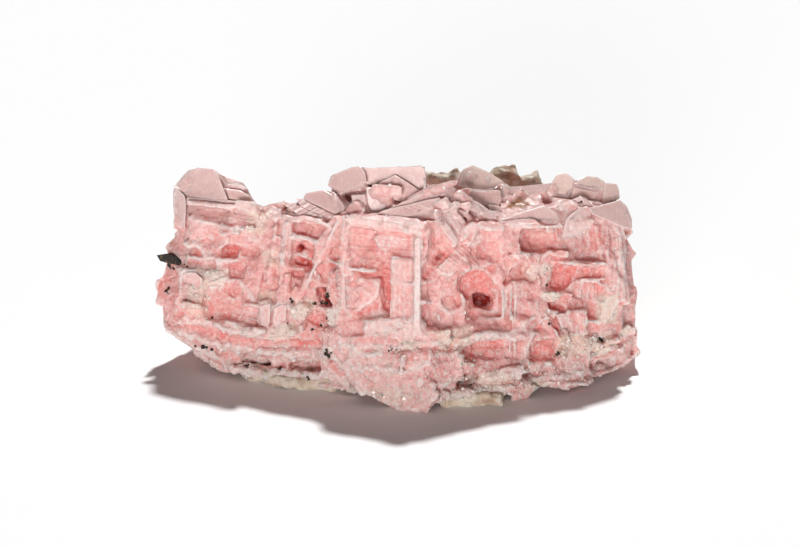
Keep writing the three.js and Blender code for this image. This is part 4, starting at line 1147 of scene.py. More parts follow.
def trim_above(space, line):
    """Cuts the salt along the sight lines through a line: distance = (its row - row) / PER_MM."""
    first = int((30 - space.low[2]) / space.step)
    spots = np.indices((*space.shape[:2], space.shape[2] - first)).reshape(3, -1).T
    points = space.low + space.step * (spots + (0, 0, first))
    shown = shown_at(points)
    above = (np.interp(shown[:, 0], *line.T) - shown[:, 1]) / PER_MM
    above = np.clip(above, -REACH, REACH).reshape(space.value[:, :, first:].shape)
    space.value[:, :, first:] = np.maximum(space.value[:, :, first:], above)


# %% [markdown]
# ## Carving it
# The steps above are now taken in order. What melts or blurs comes early, and what has to stay crisp
# comes late: blocks, melting, pits and lumps, bricks, plates, the top line, and threads last.

# %% carving it
GRID_STEP = 0.4  # mm
MARGIN = 3.0137  # mm of empty grid all round, uneven so that no flat face lies on grid points
halite_triangles = node_triangles("halite_cluster")
corners = halite_triangles.reshape(-1, 3)
halite_space = Space(corners.min(0) - MARGIN, corners.max(0) + MARGIN, GRID_STEP)
small_count = fill_distances(halite_space, halite_triangles)
print("grid:", halite_space.shape, "small triangles:", small_count)
tints = {name: TintGrid(halite_space) for name in ("red", "pale", "cream")}
rng = np.random.default_rng(7)
grow(halite_space, halite_triangles, rng, 200, STEPS)
melt(halite_space, 3, 0.60, -5, 70)
melt(halite_space, 6, 0.60, 12, 42)
for depth, redness, places in PITS:
    eased = depth if depth > 1.8 else 0.7 * depth  # the shallow pits are made shallower still
    carve_pit(halite_space, tints, eased, redness, places, 0.6)
for rise, paleness, creaminess, places in LUMPS:
    raise_slab(halite_space, tints, rise, paleness, creaminess, places, 0.4, MELT)
break_up(halite_space)
halite_space.value = blur(halite_space.value)
for rise, paleness, creaminess, places in PLATES:
    raise_slab(halite_space, tints, rise, paleness, creaminess, places, 0.05, 0.15)
trim_above(halite_space, SKYLINE)
for radius, paleness, places in THREADS:
    lay_strand(halite_space, tints, radius, paleness, places)
for radius, swag, places in LEDGES:
    lay_strand(halite_space, tints, radius, 1.0, scalloped(places, swag))
for tint in tints.values():
    tint.value = blur(tint.value)
print("pits:", len(PITS), "lumps:", len(LUMPS), "plates:", len(PLATES))
print("threads:", len(THREADS), "ledges:", len(LEDGES))

# %% [markdown]
# ## A mesh
# The drawn surface goes into a mesh as whole arrays. It has more than twice the faces that a piece
# should have, so a Decimate modifier collapses the flattest ones. A vertex group makes it spare the
# front, which is seen from close by.

# %% a mesh
def make_piece(name, vertices_mm, faces, sharp_degrees):
    """A mesh object from arrays: vertices in mm, and faces that all have as many corners."""
    mesh = bpy.data.meshes.new(name)
    mesh.vertices.add(len(vertices_mm))
    mesh.vertices.foreach_set("co", (np.asarray(vertices_mm) * MM).astype(np.float32).ravel())
    side_count = faces.shape[1]
    mesh.loops.add(faces.size)
    mesh.loops.foreach_set("vertex_index", faces.astype(np.int32).ravel())
    mesh.polygons.add(len(faces))
    mesh.polygons.foreach_set("loop_start", np.arange(0, faces.size, side_count, dtype=np.int32))
    mesh.update(calc_edges=True)
    mesh.validate()
    mesh.shade_smooth()
    if sharp_degrees:
        mesh.set_sharp_from_angle(angle=math.radians(sharp_degrees))
    piece = bpy.data.objects.new(name, mesh)
    bpy.context.collection.objects.link(piece)
    return piece


def keep_largest(vertices, faces):
    """Only the largest joined body: neighbours pass on their lowest number until none changes."""
    label = np.arange(len(vertices))
    while True:
        lowest = label[faces].min(1)
        passed = label.copy()
        np.minimum.at(passed, faces.ravel(), np.repeat(lowest, faces.shape[1]))
        passed = passed[passed]
        if (passed == label).all():
            break
        label = passed
    names, counts = np.unique(label, return_counts=True)
    kept = label == names[counts.argmax()]
    print("loose bodies left out:", len(names) - 1)
    number = np.cumsum(kept) - 1
    return vertices[kept], number[faces[kept[faces[:, 0]]]]


def thin_out(piece, most_triangles, sharp_degrees, spared):
    """Collapses the flattest edges first, the spared ones last, down to so many triangles."""
    mesh = piece.data
    mesh.calc_loop_triangles()
    modifier = piece.modifiers.new("thin_out", "DECIMATE")
    modifier.ratio = most_triangles / len(mesh.loop_triangles)
    modifier.use_collapse_triangulate = True
    group = piece.vertex_groups.new(name="given_up_first")
    for level in range(1, 4):
        chosen = np.flatnonzero(np.round((1 - spared) * 3) == level)
        group.add(chosen.tolist(), level / 3, "REPLACE")
    modifier.vertex_group = group.name
    modifier.vertex_group_factor = 0.05
    thinned = bpy.data.meshes.new_from_object(
        piece.evaluated_get(bpy.context.evaluated_depsgraph_get())
    )
    piece.modifiers.clear()
    piece.vertex_groups.clear()
    piece.data = thinned
    bpy.data.meshes.remove(mesh)
    thinned.name = piece.name
    thinned.shade_smooth()
    thinned.set_sharp_from_angle(angle=math.radians(sharp_degrees))


def mesh_points(piece):
    """The vertices of a piece in mm."""
    points = np.zeros(len(piece.data.vertices) * 3)
    piece.data.vertices.foreach_get("co", points)
    return points.reshape(-1, 3) / MM


def mesh_normals(piece):
    """The outward directions at the vertices of a piece."""
    normals = np.zeros(len(piece.data.vertices) * 3, np.float32)
    piece.data.vertex_normals.foreach_get("vector", normals)
    return normals.reshape(-1, 3)


def set_attribute(piece, name, values):
    """Keeps one number for each vertex, under a name that the finish can ask for."""
    attribute = piece.data.attributes.new(name, "FLOAT", "POINT")
    attribute.data.foreach_set("value", np.asarray(values, np.float32))


# %% the halite's mesh
HALITE_TRIANGLES = 196000
vertices, faces = draw_surface(halite_space)
vertices, faces = keep_largest(vertices, faces)
print("halite before thinning:", len(vertices), "vertices,", len(faces), "faces")
wave = np.stack([noise(vertices, 6.0, 11 + k) for k in range(3)], -1)
ripple = np.stack([noise(vertices, 1.7, 21 + k) for k in range(3)], -1)
grain = np.stack([noise(vertices, 0.9, 31 + k) for k in range(3)], -1)
foot = smooth_step(330, 375, shown_at(vertices)[:, 1])
moved = vertices + 0.15 * wave + 0.08 * ripple + (0.05 + 0.12 * foot)[:, None] * grain
low_corner, high_corner = corners.min(0) - 0.6, corners.max(0) + 0.6
low_corner[2] = 0.0
halite = make_piece("halite_crystals", np.clip(moved, low_corner, high_corner), faces, 35)
front_share = facing_share(mesh_points(halite), mesh_normals(halite))
print("share of vertices on the front, before:", front_share.mean().round(3))
thin_out(halite, HALITE_TRIANGLES, 35, front_share)
front_share = facing_share(mesh_points(halite), mesh_normals(halite))
print("and after:", front_share.mean().round(3))

# %% [markdown]
# ## How shut in each spot is
# Thin rims of this salt are painted pale, partly for its milky edges and partly as painted light, and
# deep hollows are painted red and dark, as painted shade and glow. Both follow from how much salt
# lies round a spot, and the grid knows that: the mean share of solid in a small box tells rims, in a
# middle one edges, and in a wide one hollows. An Ambient Occlusion node would have to trace rays for
# it anew.

# %% how shut in each spot is
solid_share = np.clip(0.5 - halite_space.value / halite_space.step, 0, 1)
thin_share = box_blur(solid_share, 1)
near_share = box_blur(box_blur(solid_share, 2), 2)
wide_share = box_blur(box_blur(solid_share, 6), 6)
points = mesh_points(halite)
# Numbers for painted light and shade: the small and middle shares make thin rims paler, the wide share
# paints hollows redder and darker.
set_attribute(halite, "rim", halite_space.sample(thin_share, points))
set_attribute(halite, "edge", halite_space.sample(near_share, points))
set_attribute(halite, "hollow_shade", halite_space.sample(wide_share, points))
normals = mesh_normals(halite)
striped, across = stripes(points, normals)
set_attribute(halite, "striped", striped)
set_attribute(halite, "across", across)
seen = facing_share(points, normals)
levels = {name: halite_space.sample(tint.value, points) for name, tint in tints.items()}
levels["tan"] = np.zeros(len(points))
for colour, strength, outline in TINTED:
    share = strength * seen * inside_outline(shown_at(points), outline, 4)
    levels[colour] = np.maximum(levels[colour], share)
for name, level in levels.items():
    set_attribute(halite, name, level)
set_attribute(halite, "glassy", 0.8 * smooth_step(240, 210, shown_at(points)[:, 1]))
print("halite:", len(halite.data.polygons), "triangles")
print("numbers on each vertex:", ", ".join(a.name for a in halite.data.attributes if a.domain == "POINT"))

# %% [markdown]
# ## Clean crystals
# The crystals on the top and a few in the front have flat faces and straight edges. Each is the
# convex hull of two outlines: the one in front, laid on a plane that may lean back or turn aside,
# and a slightly smaller one behind it. A narrow bevel rounds its edges, and its faces are cut fine
# enough to carry the paleness of the rims.

# %% clean crystals
# Each is its thickness and rise in mm, its lean back and turn to the right in degrees, its
# paleness, redness and creaminess, and the columns and rows of its front corners.
CRYSTALS = paired((
    # the knob
    (9.0, 0.5, 12, -8, 0.4, 0.1, 0.0, (176,184, 188,170, 200,168, 213,169, 218,174, 228,200, 190,199,
     184,196)),
    (8.0, 0.8, 20, 14, 0.9, 0.0, 0.0, (212,170, 222,176, 235,179, 243,183, 248,190, 238,189, 216,184)),
    (8.0, 0.5, 20, 12, 0.3, 0.3, 0.1, (216,187, 240,190, 249,195, 255,203, 238,201, 219,196)),
    (8.0, 0.3, 0, -38, 0.2, 0.3, 0.0, (173,190, 176,185, 185,197, 186,206, 185,229, 175,222, 173,205)),
    (5.0, 0.8, 8, 0, 1.0, 0.0, 0.0, (185,201, 187,197, 228,200, 256,203, 258,207, 240,210, 210,208,
     186,205)),
    # the plates that lean left of the middle
    (4.0, 0.8, 25, 10, 0.3, 0.2, 0.0, (281,203, 284,200, 300,206, 330,220, 336,228, 326,226, 300,216)),
    (4.0, 0.6, 25, 10, 0.3, 0.2, 0.0, (296,198, 303,199, 320,208, 336,216, 338,222, 318,214, 300,206)),
    (5.0, 0.4, 25, 5, 0.3, 0.3, 0.0, (306,193, 324,190, 334,196, 343,210, 336,214, 318,206, 303,199)),
    # the top
    (8.0, 0.8, 14, -12, 0.5, 0.1, 0.0, (329,180, 332,175, 352,167, 360,166, 365,172, 367,183, 346,191,
     338,191, 328,186)),
    (4.0, 0.8, 6, 4, 0.9, 0.0, 0.0, (362,168, 421,166, 425,169, 426,178, 427,192, 423,194, 405,186,
     366,184)),
    (4.0, 1.5, 20, 14, 0.4, 0.2, 0.0, (378,184, 382,181, 395,175, 408,182, 421,191, 416,197, 402,202,
     390,199)),
    (3.0, 1.2, 5, -5, 0.7, 0.0, 0.0, (351,195, 365,194, 367,205, 353,206)),
    (3.0, 1.2, 10, 12, 0.6, 0.1, 0.0, (366,187, 370,187, 389,197, 389,202, 383,211, 372,212, 368,204)),
    (4.0, 0.6, 20, -15, 0.1, 0.5, 0.0, (324,190, 334,192, 345,206, 343,214, 330,206, 322,200)),
    (4.0, 1.0, 10, -6, 0.4, 0.1, 0.0, (386,210, 402,203, 424,192, 438,186, 449,182, 444,196, 420,202,
     400,208)),
    (4.0, 0.8, 5, 35, 0.1, 0.6, 0.0, (449,182, 457,190, 455,195, 447,200, 444,196)),
    (4.0, 0.8, 15, 0, 0.3, 0.2, 0.0, (376,214, 384,210, 404,210, 422,204, 440,197, 444,204, 420,214,
     400,218, 380,218)),
    (3.0, 1.2, 15, 10, 0.7, 0.1, 0.0, (456,196, 461,194, 480,203, 496,215, 498,220, 490,219, 474,212,
     458,203)),
    (3.0, 0.8, 10, 10, 0.8, 0.0, 0.0, (434,216, 440,214, 450,226, 459,241, 455,245, 444,232)),
    (3.0, 0.6, 10, 5, 0.5, 0.2, 0.0, (446,212, 452,212, 468,234, 462,240, 454,228)),
    (3.0, 0.8, 10, -5, 0.5, 0.2, 0.0, (438,210, 455,201, 458,206, 444,214)),
    (5.0, 0.6, 30, 10, 0.7, 0.0, 0.4, (458,186, 462,178, 465,168, 472,165, 487,171, 503,181, 515,193,
     512,200, 500,191, 470,190)),
    (4.0, 0.5, 15, 12, 0.2, 0.35, 0.1, (470,191, 486,192, 500,190, 502,200, 496,210, 480,204, 466,196)),
    (3.0, 1.0, 15, 15, 0.5, 0.0, 0.2, (500,188, 507,184, 514,190, 509,200, 500,198)),
    (3.0, 1.2, 10, -15, 0.7, 0.0, 0.3, (514,190, 522,188, 529,194, 524,205, 513,203)),
    (3.0, 1.0, 10, 10, 0.5, 0.1, 0.2, (488,204, 500,206, 503,211, 497,213, 490,211)),
    # the top at the right
    (6.0, 0.8, 12, -8, 0.8, 0.0, 0.4, (547,193, 551,184, 557,175, 562,173, 568,174, 575,180, 573,185,
     568,198, 556,197)),
    (6.0, 0.8, 20, 5, 0.8, 0.0, 0.4, (577,180, 586,176, 598,177, 605,182, 606,190, 602,192, 590,188,
     577,185)),
    (6.0, 0.8, 12, 20, 0.7, 0.0, 0.2, (605,183, 617,184, 619,190, 620,199, 607,203, 602,205, 604,192)),
    (5.0, 0.4, 10, 5, 0.3, 0.3, 0.2, (574,187, 590,190, 598,192, 600,203, 592,206, 582,197, 570,198)),
    (6.0, 0.5, 18, 18, 0.5, 0.1, 0.0, (588,208, 600,205, 620,200, 627,206, 632,219, 632,230, 624,228,
     612,218, 592,214)),
    (4.0, 1.0, 10, -8, 0.6, 0.0, 0.0, (558,207, 570,202, 581,196, 584,199, 576,203, 560,212)),
    (4.0, 1.0, 10, 15, 0.5, 0.1, 0.0, (581,196, 586,198, 594,207, 592,214, 584,206)),
    (4.0, 0.8, 12, 0, 0.6, 0.1, 0.0, (501,220, 516,214, 545,205, 556,212, 560,222, 559,227, 545,226,
     512,226)),
    (4.0, 0.8, 5, 5, 0.7, 0.0, 0.0, (566,219, 570,214, 580,208, 586,214, 588,228, 585,233, 575,235, 562,237,
     569,230)),
    # in the front
    (3.0, 1.0, 5, -6, 0.5, 0.1, 0.0, (259,306, 264,304, 271,303, 270,322, 267,328, 261,326)),
    (3.0, 1.0, 5, 6, 0.4, 0.1, 0.0, (274,308, 281,304, 287,305, 286,320, 277,328, 272,322)),
    (3.0, 0.7, 5, -4, 0.4, 0.1, 0.1, (182,272, 196,272, 203,279, 201,287, 198,297, 181,297)),
    (4.0, 1.0, 5, 0, 0.9, 0.0, 0.3, (327,308, 341,307, 341,324, 328,325)),
    (3.0, 0.9, 5, -8, 0.4, 0.2, 0.0, (335,270, 340,268, 345,274, 346,309, 336,310)),
    (3.0, 0.9, 5, 4, 0.35, 0.15, 0.0, (556,314, 563,313, 584,315, 585,333, 572,335, 563,333, 560,325)),
    (2.5, 0.8, 10, 10, 0.8, 0.0, 0.1, (418,378, 426,374, 428,380, 420,388, 416,387)),
    (2.0, 0.6, 10, -10, 0.8, 0.0, 0.3, (387,368, 392,366, 397,370, 393,374, 388,372)),
    (2.0, 0.6, 10, 5, 0.7, 0.0, 0.3, (437,315, 440,314, 441,320, 438,321)),
))


# %% outlines to hulls
PROUD = 0.45  # share of the rise by which the middle of the front stands out of the salt
NARROWED = 0.94  # size of the outline behind, as a share of the one in front


def hull_of(space, thick, rise, lean, turn, outline):
    """Front corners on a tilted plane through the salt there, and back corners behind them, in mm."""
    hits = first_hits(space, outline)
    inward = inward_at(outline[:, 0].mean())
    start = EYE + np.median((hits - EYE) @ inward) * inward
    lean, turn = math.radians(lean), math.radians(turn)
    side = np.array([inward[1], -inward[0], 0.0])
    level = -inward * math.cos(turn) + side * math.sin(turn)
    outward = level * math.cos(lean) + np.array([0.0, 0.0, math.sin(lean)])
    lines = sight_lines(outline)
    middle = sight_lines([np.mean(outline, axis=0)])[0]
    centre = EYE + ((start - EYE) @ inward - PROUD * rise) / (middle @ inward) * middle
    corners = EYE + ((centre - EYE) @ outward / (lines @ outward))[:, None] * lines
    behind = centre + NARROWED * (corners - centre) + thick * AHEAD
    return np.concatenate([corners, behind])


# %% hulls to crystals
def clean_crystal(points, bevel_mm=0.2):
    """Vertices and triangles of a bevelled hull, and how near each vertex is to an edge, in mm:
    the second smallest of its distances to the planes of the hull's faces."""
    shape = bmesh.new()
    for point in points:
        shape.verts.new(point)
    bmesh.ops.convex_hull(shape, input=shape.verts)
    bmesh.ops.delete(shape, geom=[v for v in shape.verts if not v.link_faces], context="VERTS")
    bmesh.ops.dissolve_limit(shape, angle_limit=0.03, verts=shape.verts, edges=shape.edges)
    bmesh.ops.recalc_face_normals(shape, faces=shape.faces)
    planes = np.array([(*face.normal, face.normal.dot(face.verts[0].co)) for face in shape.faces])
    bmesh.ops.bevel(shape, geom=shape.edges[:], offset=bevel_mm, segments=1, profile=0.5,
                    affect="EDGES")
    bmesh.ops.triangulate(shape, faces=shape.faces)
    for longest in (6.0, 3.0, 2.0, 1.4):
        long = [edge for edge in shape.edges if edge.calc_length() > longest]
        bmesh.ops.subdivide_edges(shape, edges=long, cuts=1)
        bmesh.ops.triangulate(shape, faces=shape.faces)
    vertices = np.array([vertex.co for vertex in shape.verts])
    faces = np.array([[vertex.index for vertex in face.verts] for face in shape.faces])
    shape.free()
    inside = np.sort(planes[None, :, 3] - vertices @ planes[:, :3].T, axis=1)
    return vertices, faces, inside[:, 1]


# %% boxes behind
def back_boxes(space, rng, count):
    """Corners of low boxes sunk in the flat top behind the crystals, squared to the two sides. A box
    that would show above the top line is left out."""
    boxes = []
    for _ in range(count):
        x, y = rng.uniform(-46, 46), rng.uniform(7, 21)
        column = [round(float(v)) for v in (np.array([x, y]) - space.low[:2]) / space.step]
        heights = np.flatnonzero(space.value[column[0], column[1]] < 0)
        if not len(heights):
            continue
        top = space.low[2] + heights.max() * space.step
        long, wide, tall = rng.uniform(5, 15), rng.uniform(4, 9), rng.uniform(0.2, 1.2)
        turn = rng.choice([0.0, WEDGE[0], -WEDGE[1]]) + rng.normal(0, 0.05)
        along = np.array([math.cos(turn), math.sin(turn)]) * long / 2
        aside = np.array([-math.sin(turn), math.cos(turn)]) * wide / 2
        flat = [(x, y) + a * along + b * aside for a, b in ((-1, -1), (1, -1), (1, 1), (-1, 1))]
        tilt = rng.normal(0, 0.05, 2)
        above = [[*spot, top + tall + (spot - (x, y)) @ tilt] for spot in flat]
        shown = shown_at(np.array(above))
        if (shown[:, 1] < np.interp(shown[:, 0], *SKYLINE.T) + 3).any():
            continue
        boxes.append(np.array(above + [[*spot, top - 5] for spot in flat]))
    return boxes


# %% all the clean crystals
hulls = []
for thick, rise, lean, turn, paleness, redness, creaminess, outline in CRYSTALS:
    deep = min(2.4 * thick, 10) if outline[:, 1].max() < 245 else thick  # those on the top reach back
    hull = hull_of(halite_space, deep, rise, lean, turn, outline)
    hulls.append((hull, (paleness, redness, creaminess)))
for box in back_boxes(halite_space, np.random.default_rng(12), 70):
    hulls.append((box, (0.4, 0.15, 0.0)))
parts = {"vertices": [], "faces": [], "near": [], "levels": []}
first = 0
for hull, levels_here in hulls:
    vertices, faces, near = clean_crystal(hull)
    parts["vertices"].append(vertices)
    parts["faces"].append(faces + first)
    parts["near"].append(near)
    parts["levels"].append(np.tile(levels_here, (len(vertices), 1)))
    first += len(vertices)
vertices, near, crystal_levels = (np.concatenate(parts[k]) for k in ("vertices", "near", "levels"))
wear = np.stack([noise(vertices, 1.5, 91 + k) for k in range(3)], -1)
vertices = np.clip(vertices + 0.07 * wear, low_corner, high_corner)
crystals = make_piece("clean_crystals", vertices, np.concatenate(parts["faces"]), 30)
striped, across = stripes(vertices, np.tile(-AHEAD, (len(vertices), 1)))
# Paler near their edges, partly the salt's milky edges and partly painted light; the hollow number is even,
# so no painted shade.
for name, values in {
    "rim": 0.5 - 0.2 * (1 - smooth_step(0.1, 0.6, near)),
    "edge": 0.5 - 0.15 * (1 - smooth_step(0.3, 1.5, near)),
    "glassy": 0.35 + 0.65 * smooth_step(240, 215, shown_at(vertices)[:, 1]),
    "hollow_shade": np.full(len(vertices), 0.5),
    **dict(zip(("pale", "red", "cream"), crystal_levels.T)),
    "tan": np.zeros(len(vertices)),
    "striped": striped,
    "across": across,
}.items():
    set_attribute(crystals, name, values)
print("clean crystals:", len(hulls), "with", len(crystals.data.polygons), "triangles")

# %% [markdown]
# ## Sugar grains
# The last water left a dust of tiny cubes on ledges, on the foot and in the cream patches. They
# catch the light as single bright points, which a texture can't do, so each one is a real little
# block of six faces. All of them are one mesh, and each is sunk a little way into the salt.

# %% sugar grains
CUBE = np.array([(x, y, z) for x in (-1, 1) for y in (-1, 1) for z in (-1, 1)], float)
CUBE_FACES = np.array(
    [(0, 1, 3, 2), (4, 6, 7, 5), (0, 4, 5, 1), (2, 3, 7, 6), (0, 2, 6, 4), (1, 5, 7, 3)]
)
SUNK = 0.2  # share of a grain's size by which its middle lies below the surface


def random_turns(rng, count):
    """Random rotation matrices from random unit quaternions."""
    q = rng.standard_normal((count, 4))
    a, b, c, d = (q / np.linalg.norm(q, axis=1, keepdims=True)).T
    rows = [
        [1 - 2 * (c * c + d * d), 2 * (b * c - a * d), 2 * (b * d + a * c)],
        [2 * (b * c + a * d), 1 - 2 * (b * b + d * d), 2 * (c * d - a * b)],
        [2 * (b * d - a * c), 2 * (c * d + a * b), 1 - 2 * (b * b + c * c)],
    ]
    return np.moveaxis(np.array(rows), 2, 0)


def make_grains(name, places, normals, sizes, rng, jitter=0.0):
    """Blocks at places: each cube corner is scaled, jittered and turned, then moved there."""
    count = len(places)
    half = sizes[:, None] / 2 * rng.uniform(0.7, 1.3, (count, 3))
    shape = CUBE[None] * half[:, None, :]
    shape = shape * (1 + jitter * rng.uniform(-1, 1, (count, 8, 3)))
    turned = np.einsum("nij,nkj->nki", random_turns(rng, count), shape)
    vertices = turned + (places - normals * sizes[:, None] * SUNK)[:, None, :]
    faces = (np.arange(count)[:, None, None] * 8 + CUBE_FACES[None]).reshape(-1, 4)
    vertices = vertices.reshape(-1, 3)
    vertices[:, 2] = np.maximum(vertices[:, 2], 0)
    grains = make_piece(name, vertices, faces, 0)
    grains.data.shade_flat()
    return grains


# %% the dust of grains
GRAINS = 1800
dusty = 0.01 + 0.4 * levels["cream"] + 0.2 * smooth_step(320, 370, shown_at(points)[:, 1])
dusty *= np.clip(1 - levels["red"], 0.05, 1)
dusty = np.clip(dusty, 0, None) * (points[:, 2] > 1.0)
chosen = rng.choice(len(dusty), GRAINS, replace=False, p=dusty / dusty.sum())
sizes = np.exp(rng.normal(math.log(0.42), 0.3, len(chosen)))
grains = make_grains("sugar_grains", points[chosen], normals[chosen], sizes, rng)
print("sugar grains:", len(chosen))

# %% [markdown]
# ## Clay specks
# Crumbs of dark clay stick in the hollows of the front. One block each would look like a die, so each
# speck is a small heap of chips with uneven corners, laid where a line of sight meets the salt.

# %% clay specks
# Column, row and size in mm of the dark specks that are stuck to the front.
SPECKS = np.reshape((
    170,267,1.2, 174,270,1.0, 176,264,0.8, 180,262,0.9, 184,264,0.8, 186,267,0.7, 166,283,0.9,
    170,289,1.2, 168,293,0.7, 167,300,0.7, 202,281,0.6, 213,318,0.9, 185,321,1.0, 191,314,0.6,
    196,346,0.6, 205,346,1.2, 208,349,1.3, 243,293,0.4, 292,300,0.8, 301,310,0.5, 287,323,0.5,
    281,328,0.4, 247,365,0.9, 280,370,1.0, 302,374,0.8, 309,378,0.9, 328,295,1.2, 322,302,1.2,
    316,304,0.9, 328,303,0.9, 326,311,0.8, 327,318,0.7, 322,325,1.4, 311,328,1.0, 316,329,0.9,
    337,328,0.5, 327,352,1.2, 330,355,0.9, 391,348,0.8, 396,350,0.9, 401,350,0.7, 389,351,0.6,
    406,358,0.5, 469,332,0.4, 452,340,0.4, 550,323,0.9, 561,332,0.5, 598,339,1.3, 601,340,0.8,
    557,353,1.0, 600,324,0.5, 594,328,0.4, 546,286,0.8, 552,283,0.5, 547,269,0.6, 545,274,0.5,
    566,299,0.4, 540,336,0.4, 548,336,0.3, 604,339,0.5, 382,395,0.4, 497,311,0.4, 573,296,0.3,
    570,304,0.4,
), (-1, 3))
hits = first_hits(halite_space, SPECKS[:, :2])
lines = sight_lines(SPECKS[:, :2])
CHIPS = 4  # in each heap
heap_size = np.repeat(SPECKS[:, 2], CHIPS)
shift = 0.28 * rng.standard_normal((CHIPS * len(hits), 3)) * heap_size[:, None]
places = np.repeat(hits, CHIPS, axis=0) + shift
chip_sizes = heap_size * rng.uniform(0.3, 0.65, CHIPS * len(hits))
specks = make_grains("clay_specks", places, -np.repeat(lines, CHIPS, axis=0), chip_sizes, rng, 0.35)
print("clay specks:", len(places))

# %% [markdown]
# ## The crust
# The back of the cluster is not clear salt but a sandy crust of fine grains, stained tan by clay.
# It has no flat faces at all: its surface is lumps on lumps. Little blocks are joined to its solid,
# and noise of three sizes then moves the vertices of the drawn surface. A Displace modifier mostly
# pushes them along their normals, which can't undercut a lump.

# %% the crust
CRUST_STEP = 0.6  # mm
crust_triangles = node_triangles("salt_crust")
crust_corners = crust_triangles.reshape(-1, 3)
crust_space = Space(crust_corners.min(0) - MARGIN, crust_corners.max(0) + MARGIN, CRUST_STEP)
fill_distances(crust_space, crust_triangles)
grow(crust_space, crust_triangles, rng, 1500, KNOBS)
crust_space.value = blur(crust_space.value)
vertices, faces = draw_surface(crust_space)
moved = vertices.copy()
for size, height in ((5.0, 0.35), (2.6, 0.45), (1.3, 0.3)):
    moved += height * np.stack([noise(vertices, size, int(size * 50) + k) for k in range(3)], -1)
low_corner, high_corner = crust_corners.min(0) - 0.3, crust_corners.max(0) + 0.3
low_corner[2] = 0.0
crust = make_piece("sandy_crust", np.clip(moved, low_corner, high_corner), faces, 0)
points = mesh_points(crust)
# How shut in each spot of the crust is, for its painted shade.
crust_share = box_blur(np.clip(0.5 - crust_space.value / crust_space.step, 0, 1), 3)
set_attribute(crust, "hollow_shade", crust_space.sample(crust_share, points))
print("crust:", len(crust.data.polygons), "triangles")

# %% [markdown]
# ## Shader sums
# A material is a chain of small sums. Writing them as ordinary arithmetic keeps them readable: this
# class wraps a socket of a node, and each operator adds one Math node and wraps its result. The
# same nodes could be placed by hand in the Shader Editor, where the sums are hard to see.

# %% shader sums
class Signal:
    """A number that varies over the surface: a socket that can be added, scaled and compared."""

    def __init__(self, paint, socket):
        self.paint, self.socket = paint, socket

    def _math(self, operation, *values):
        """One Math node on these values."""
        node = self.paint.node("ShaderNodeMath", {"operation": operation}, dict(enumerate(values)))
        return Signal(self.paint, node.outputs[0])

    def __add__(self, other):
        return self._math("ADD", self, other)

    __radd__ = __add__

    def __mul__(self, other):
        return self._math("MULTIPLY", self, other)

    __rmul__ = __mul__

    def __sub__(self, other):
        return self._math("SUBTRACT", self, other)

    def __rsub__(self, other):
        return self._math("SUBTRACT", other, self)

    def clamp(self):
        """The larger of this and 0, then the smaller of that and 1."""
        return self._math("MINIMUM", self._math("MAXIMUM", self, 0.0), 1.0)

    def ramp(self, low, high):
        """0 below low, 1 above high, smooth between."""
        node = self.paint.node(
            "ShaderNodeMapRange",
            {"interpolation_type": "SMOOTHSTEP"},
            {"Value": self, "From Min": low, "From Max": high},
        )
        return Signal(self.paint, node.outputs["Result"])


# %% materials from nodes
class Paint:
    """A node material under construction."""

    def __init__(self, name):
        self.material = bpy.data.materials.new(name)
        self.material.use_nodes = True
        self.tree = self.material.node_tree
        self.shader = self.tree.nodes["Principled BSDF"]
        self.place = self.node("ShaderNodeTexCoord").outputs["Object"]

    def node(self, kind, settings=None, sockets=None):
        """Any node: its settings first, then the values or links of its sockets."""
        node = self.tree.nodes.new(kind)
        for name, value in (settings or {}).items():
            setattr(node, name, value)
        for name, value in (sockets or {}).items():
            self.plug(node.inputs[name], value)
        return node

    def plug(self, socket, value):
        """Links a socket to another one, or gives it a value."""
        if isinstance(value, Signal):
            value = value.socket
        if isinstance(value, bpy.types.NodeSocket):
            self.tree.links.new(value, socket)
        elif isinstance(value, tuple) and len(value) == 3 and socket.type == "RGBA":
            socket.default_value = (*value, 1)
        else:
            socket.default_value = value

    def set(self, **sockets):
        """Sockets of the shader by name, with an underscore for each space."""
        for name, value in sockets.items():
            self.plug(self.shader.inputs[name.replace("_", " ")], value)

    def noise(self, size_mm, detail=2.0, roughness=0.5, stretch=None, place=None):
        """Noise with bumps of one size, on the object's own coordinates unless told otherwise."""
        place = place or self.place
        if stretch:
            place = self.node("ShaderNodeMapping", {}, {"Vector": place, "Scale": stretch}).outputs[0]
        sockets = {"Vector": place, "Scale": 1 / (size_mm * MM), "Detail": detail}
        node = self.node("ShaderNodeTexNoise", {}, {**sockets, "Roughness": roughness})
        return Signal(self, node.outputs["Fac"])

    def attribute(self, name):
        """A number that was kept on the vertices."""
        node = self.node("ShaderNodeAttribute", {"attribute_name": name})
        return Signal(self, node.outputs["Fac"])

    def mix(self, share, first, second):
        """A colour between two colours, by a share from 0 to 1."""
        node = self.node("ShaderNodeMix", {"data_type": "RGBA"})
        self.plug(node.inputs[0], share)
        self.plug(node.inputs[6], first)
        self.plug(node.inputs[7], second)
        return node.outputs[2]

    def bump(self, height, distance_mm, strength=1.0):
        """A tilt of the surface that follows a height from 0 to 1."""
        sockets = {"Height": height, "Distance": distance_mm * MM, "Strength": strength}
        return self.node("ShaderNodeBump", {}, sockets).outputs["Normal"]

    def cells(self, size_mm, place=None, **settings):
        """Voronoi cells of one size: each place belongs to the nearest of many scattered points."""
        sockets = {"Vector": place or self.place, "Scale": 1 / (size_mm * MM)}
        return self.node("ShaderNodeTexVoronoi", settings, sockets).outputs


def let_light_in(shader, share, reach, scale_mm):
    """Lets a share of the light wander inside: reach says how far each colour goes, times scale."""
    for name, value in (("Weight", share), ("Radius", reach), ("Scale", scale_mm * MM)):
        shader.inputs["Subsurface " + name].default_value = value


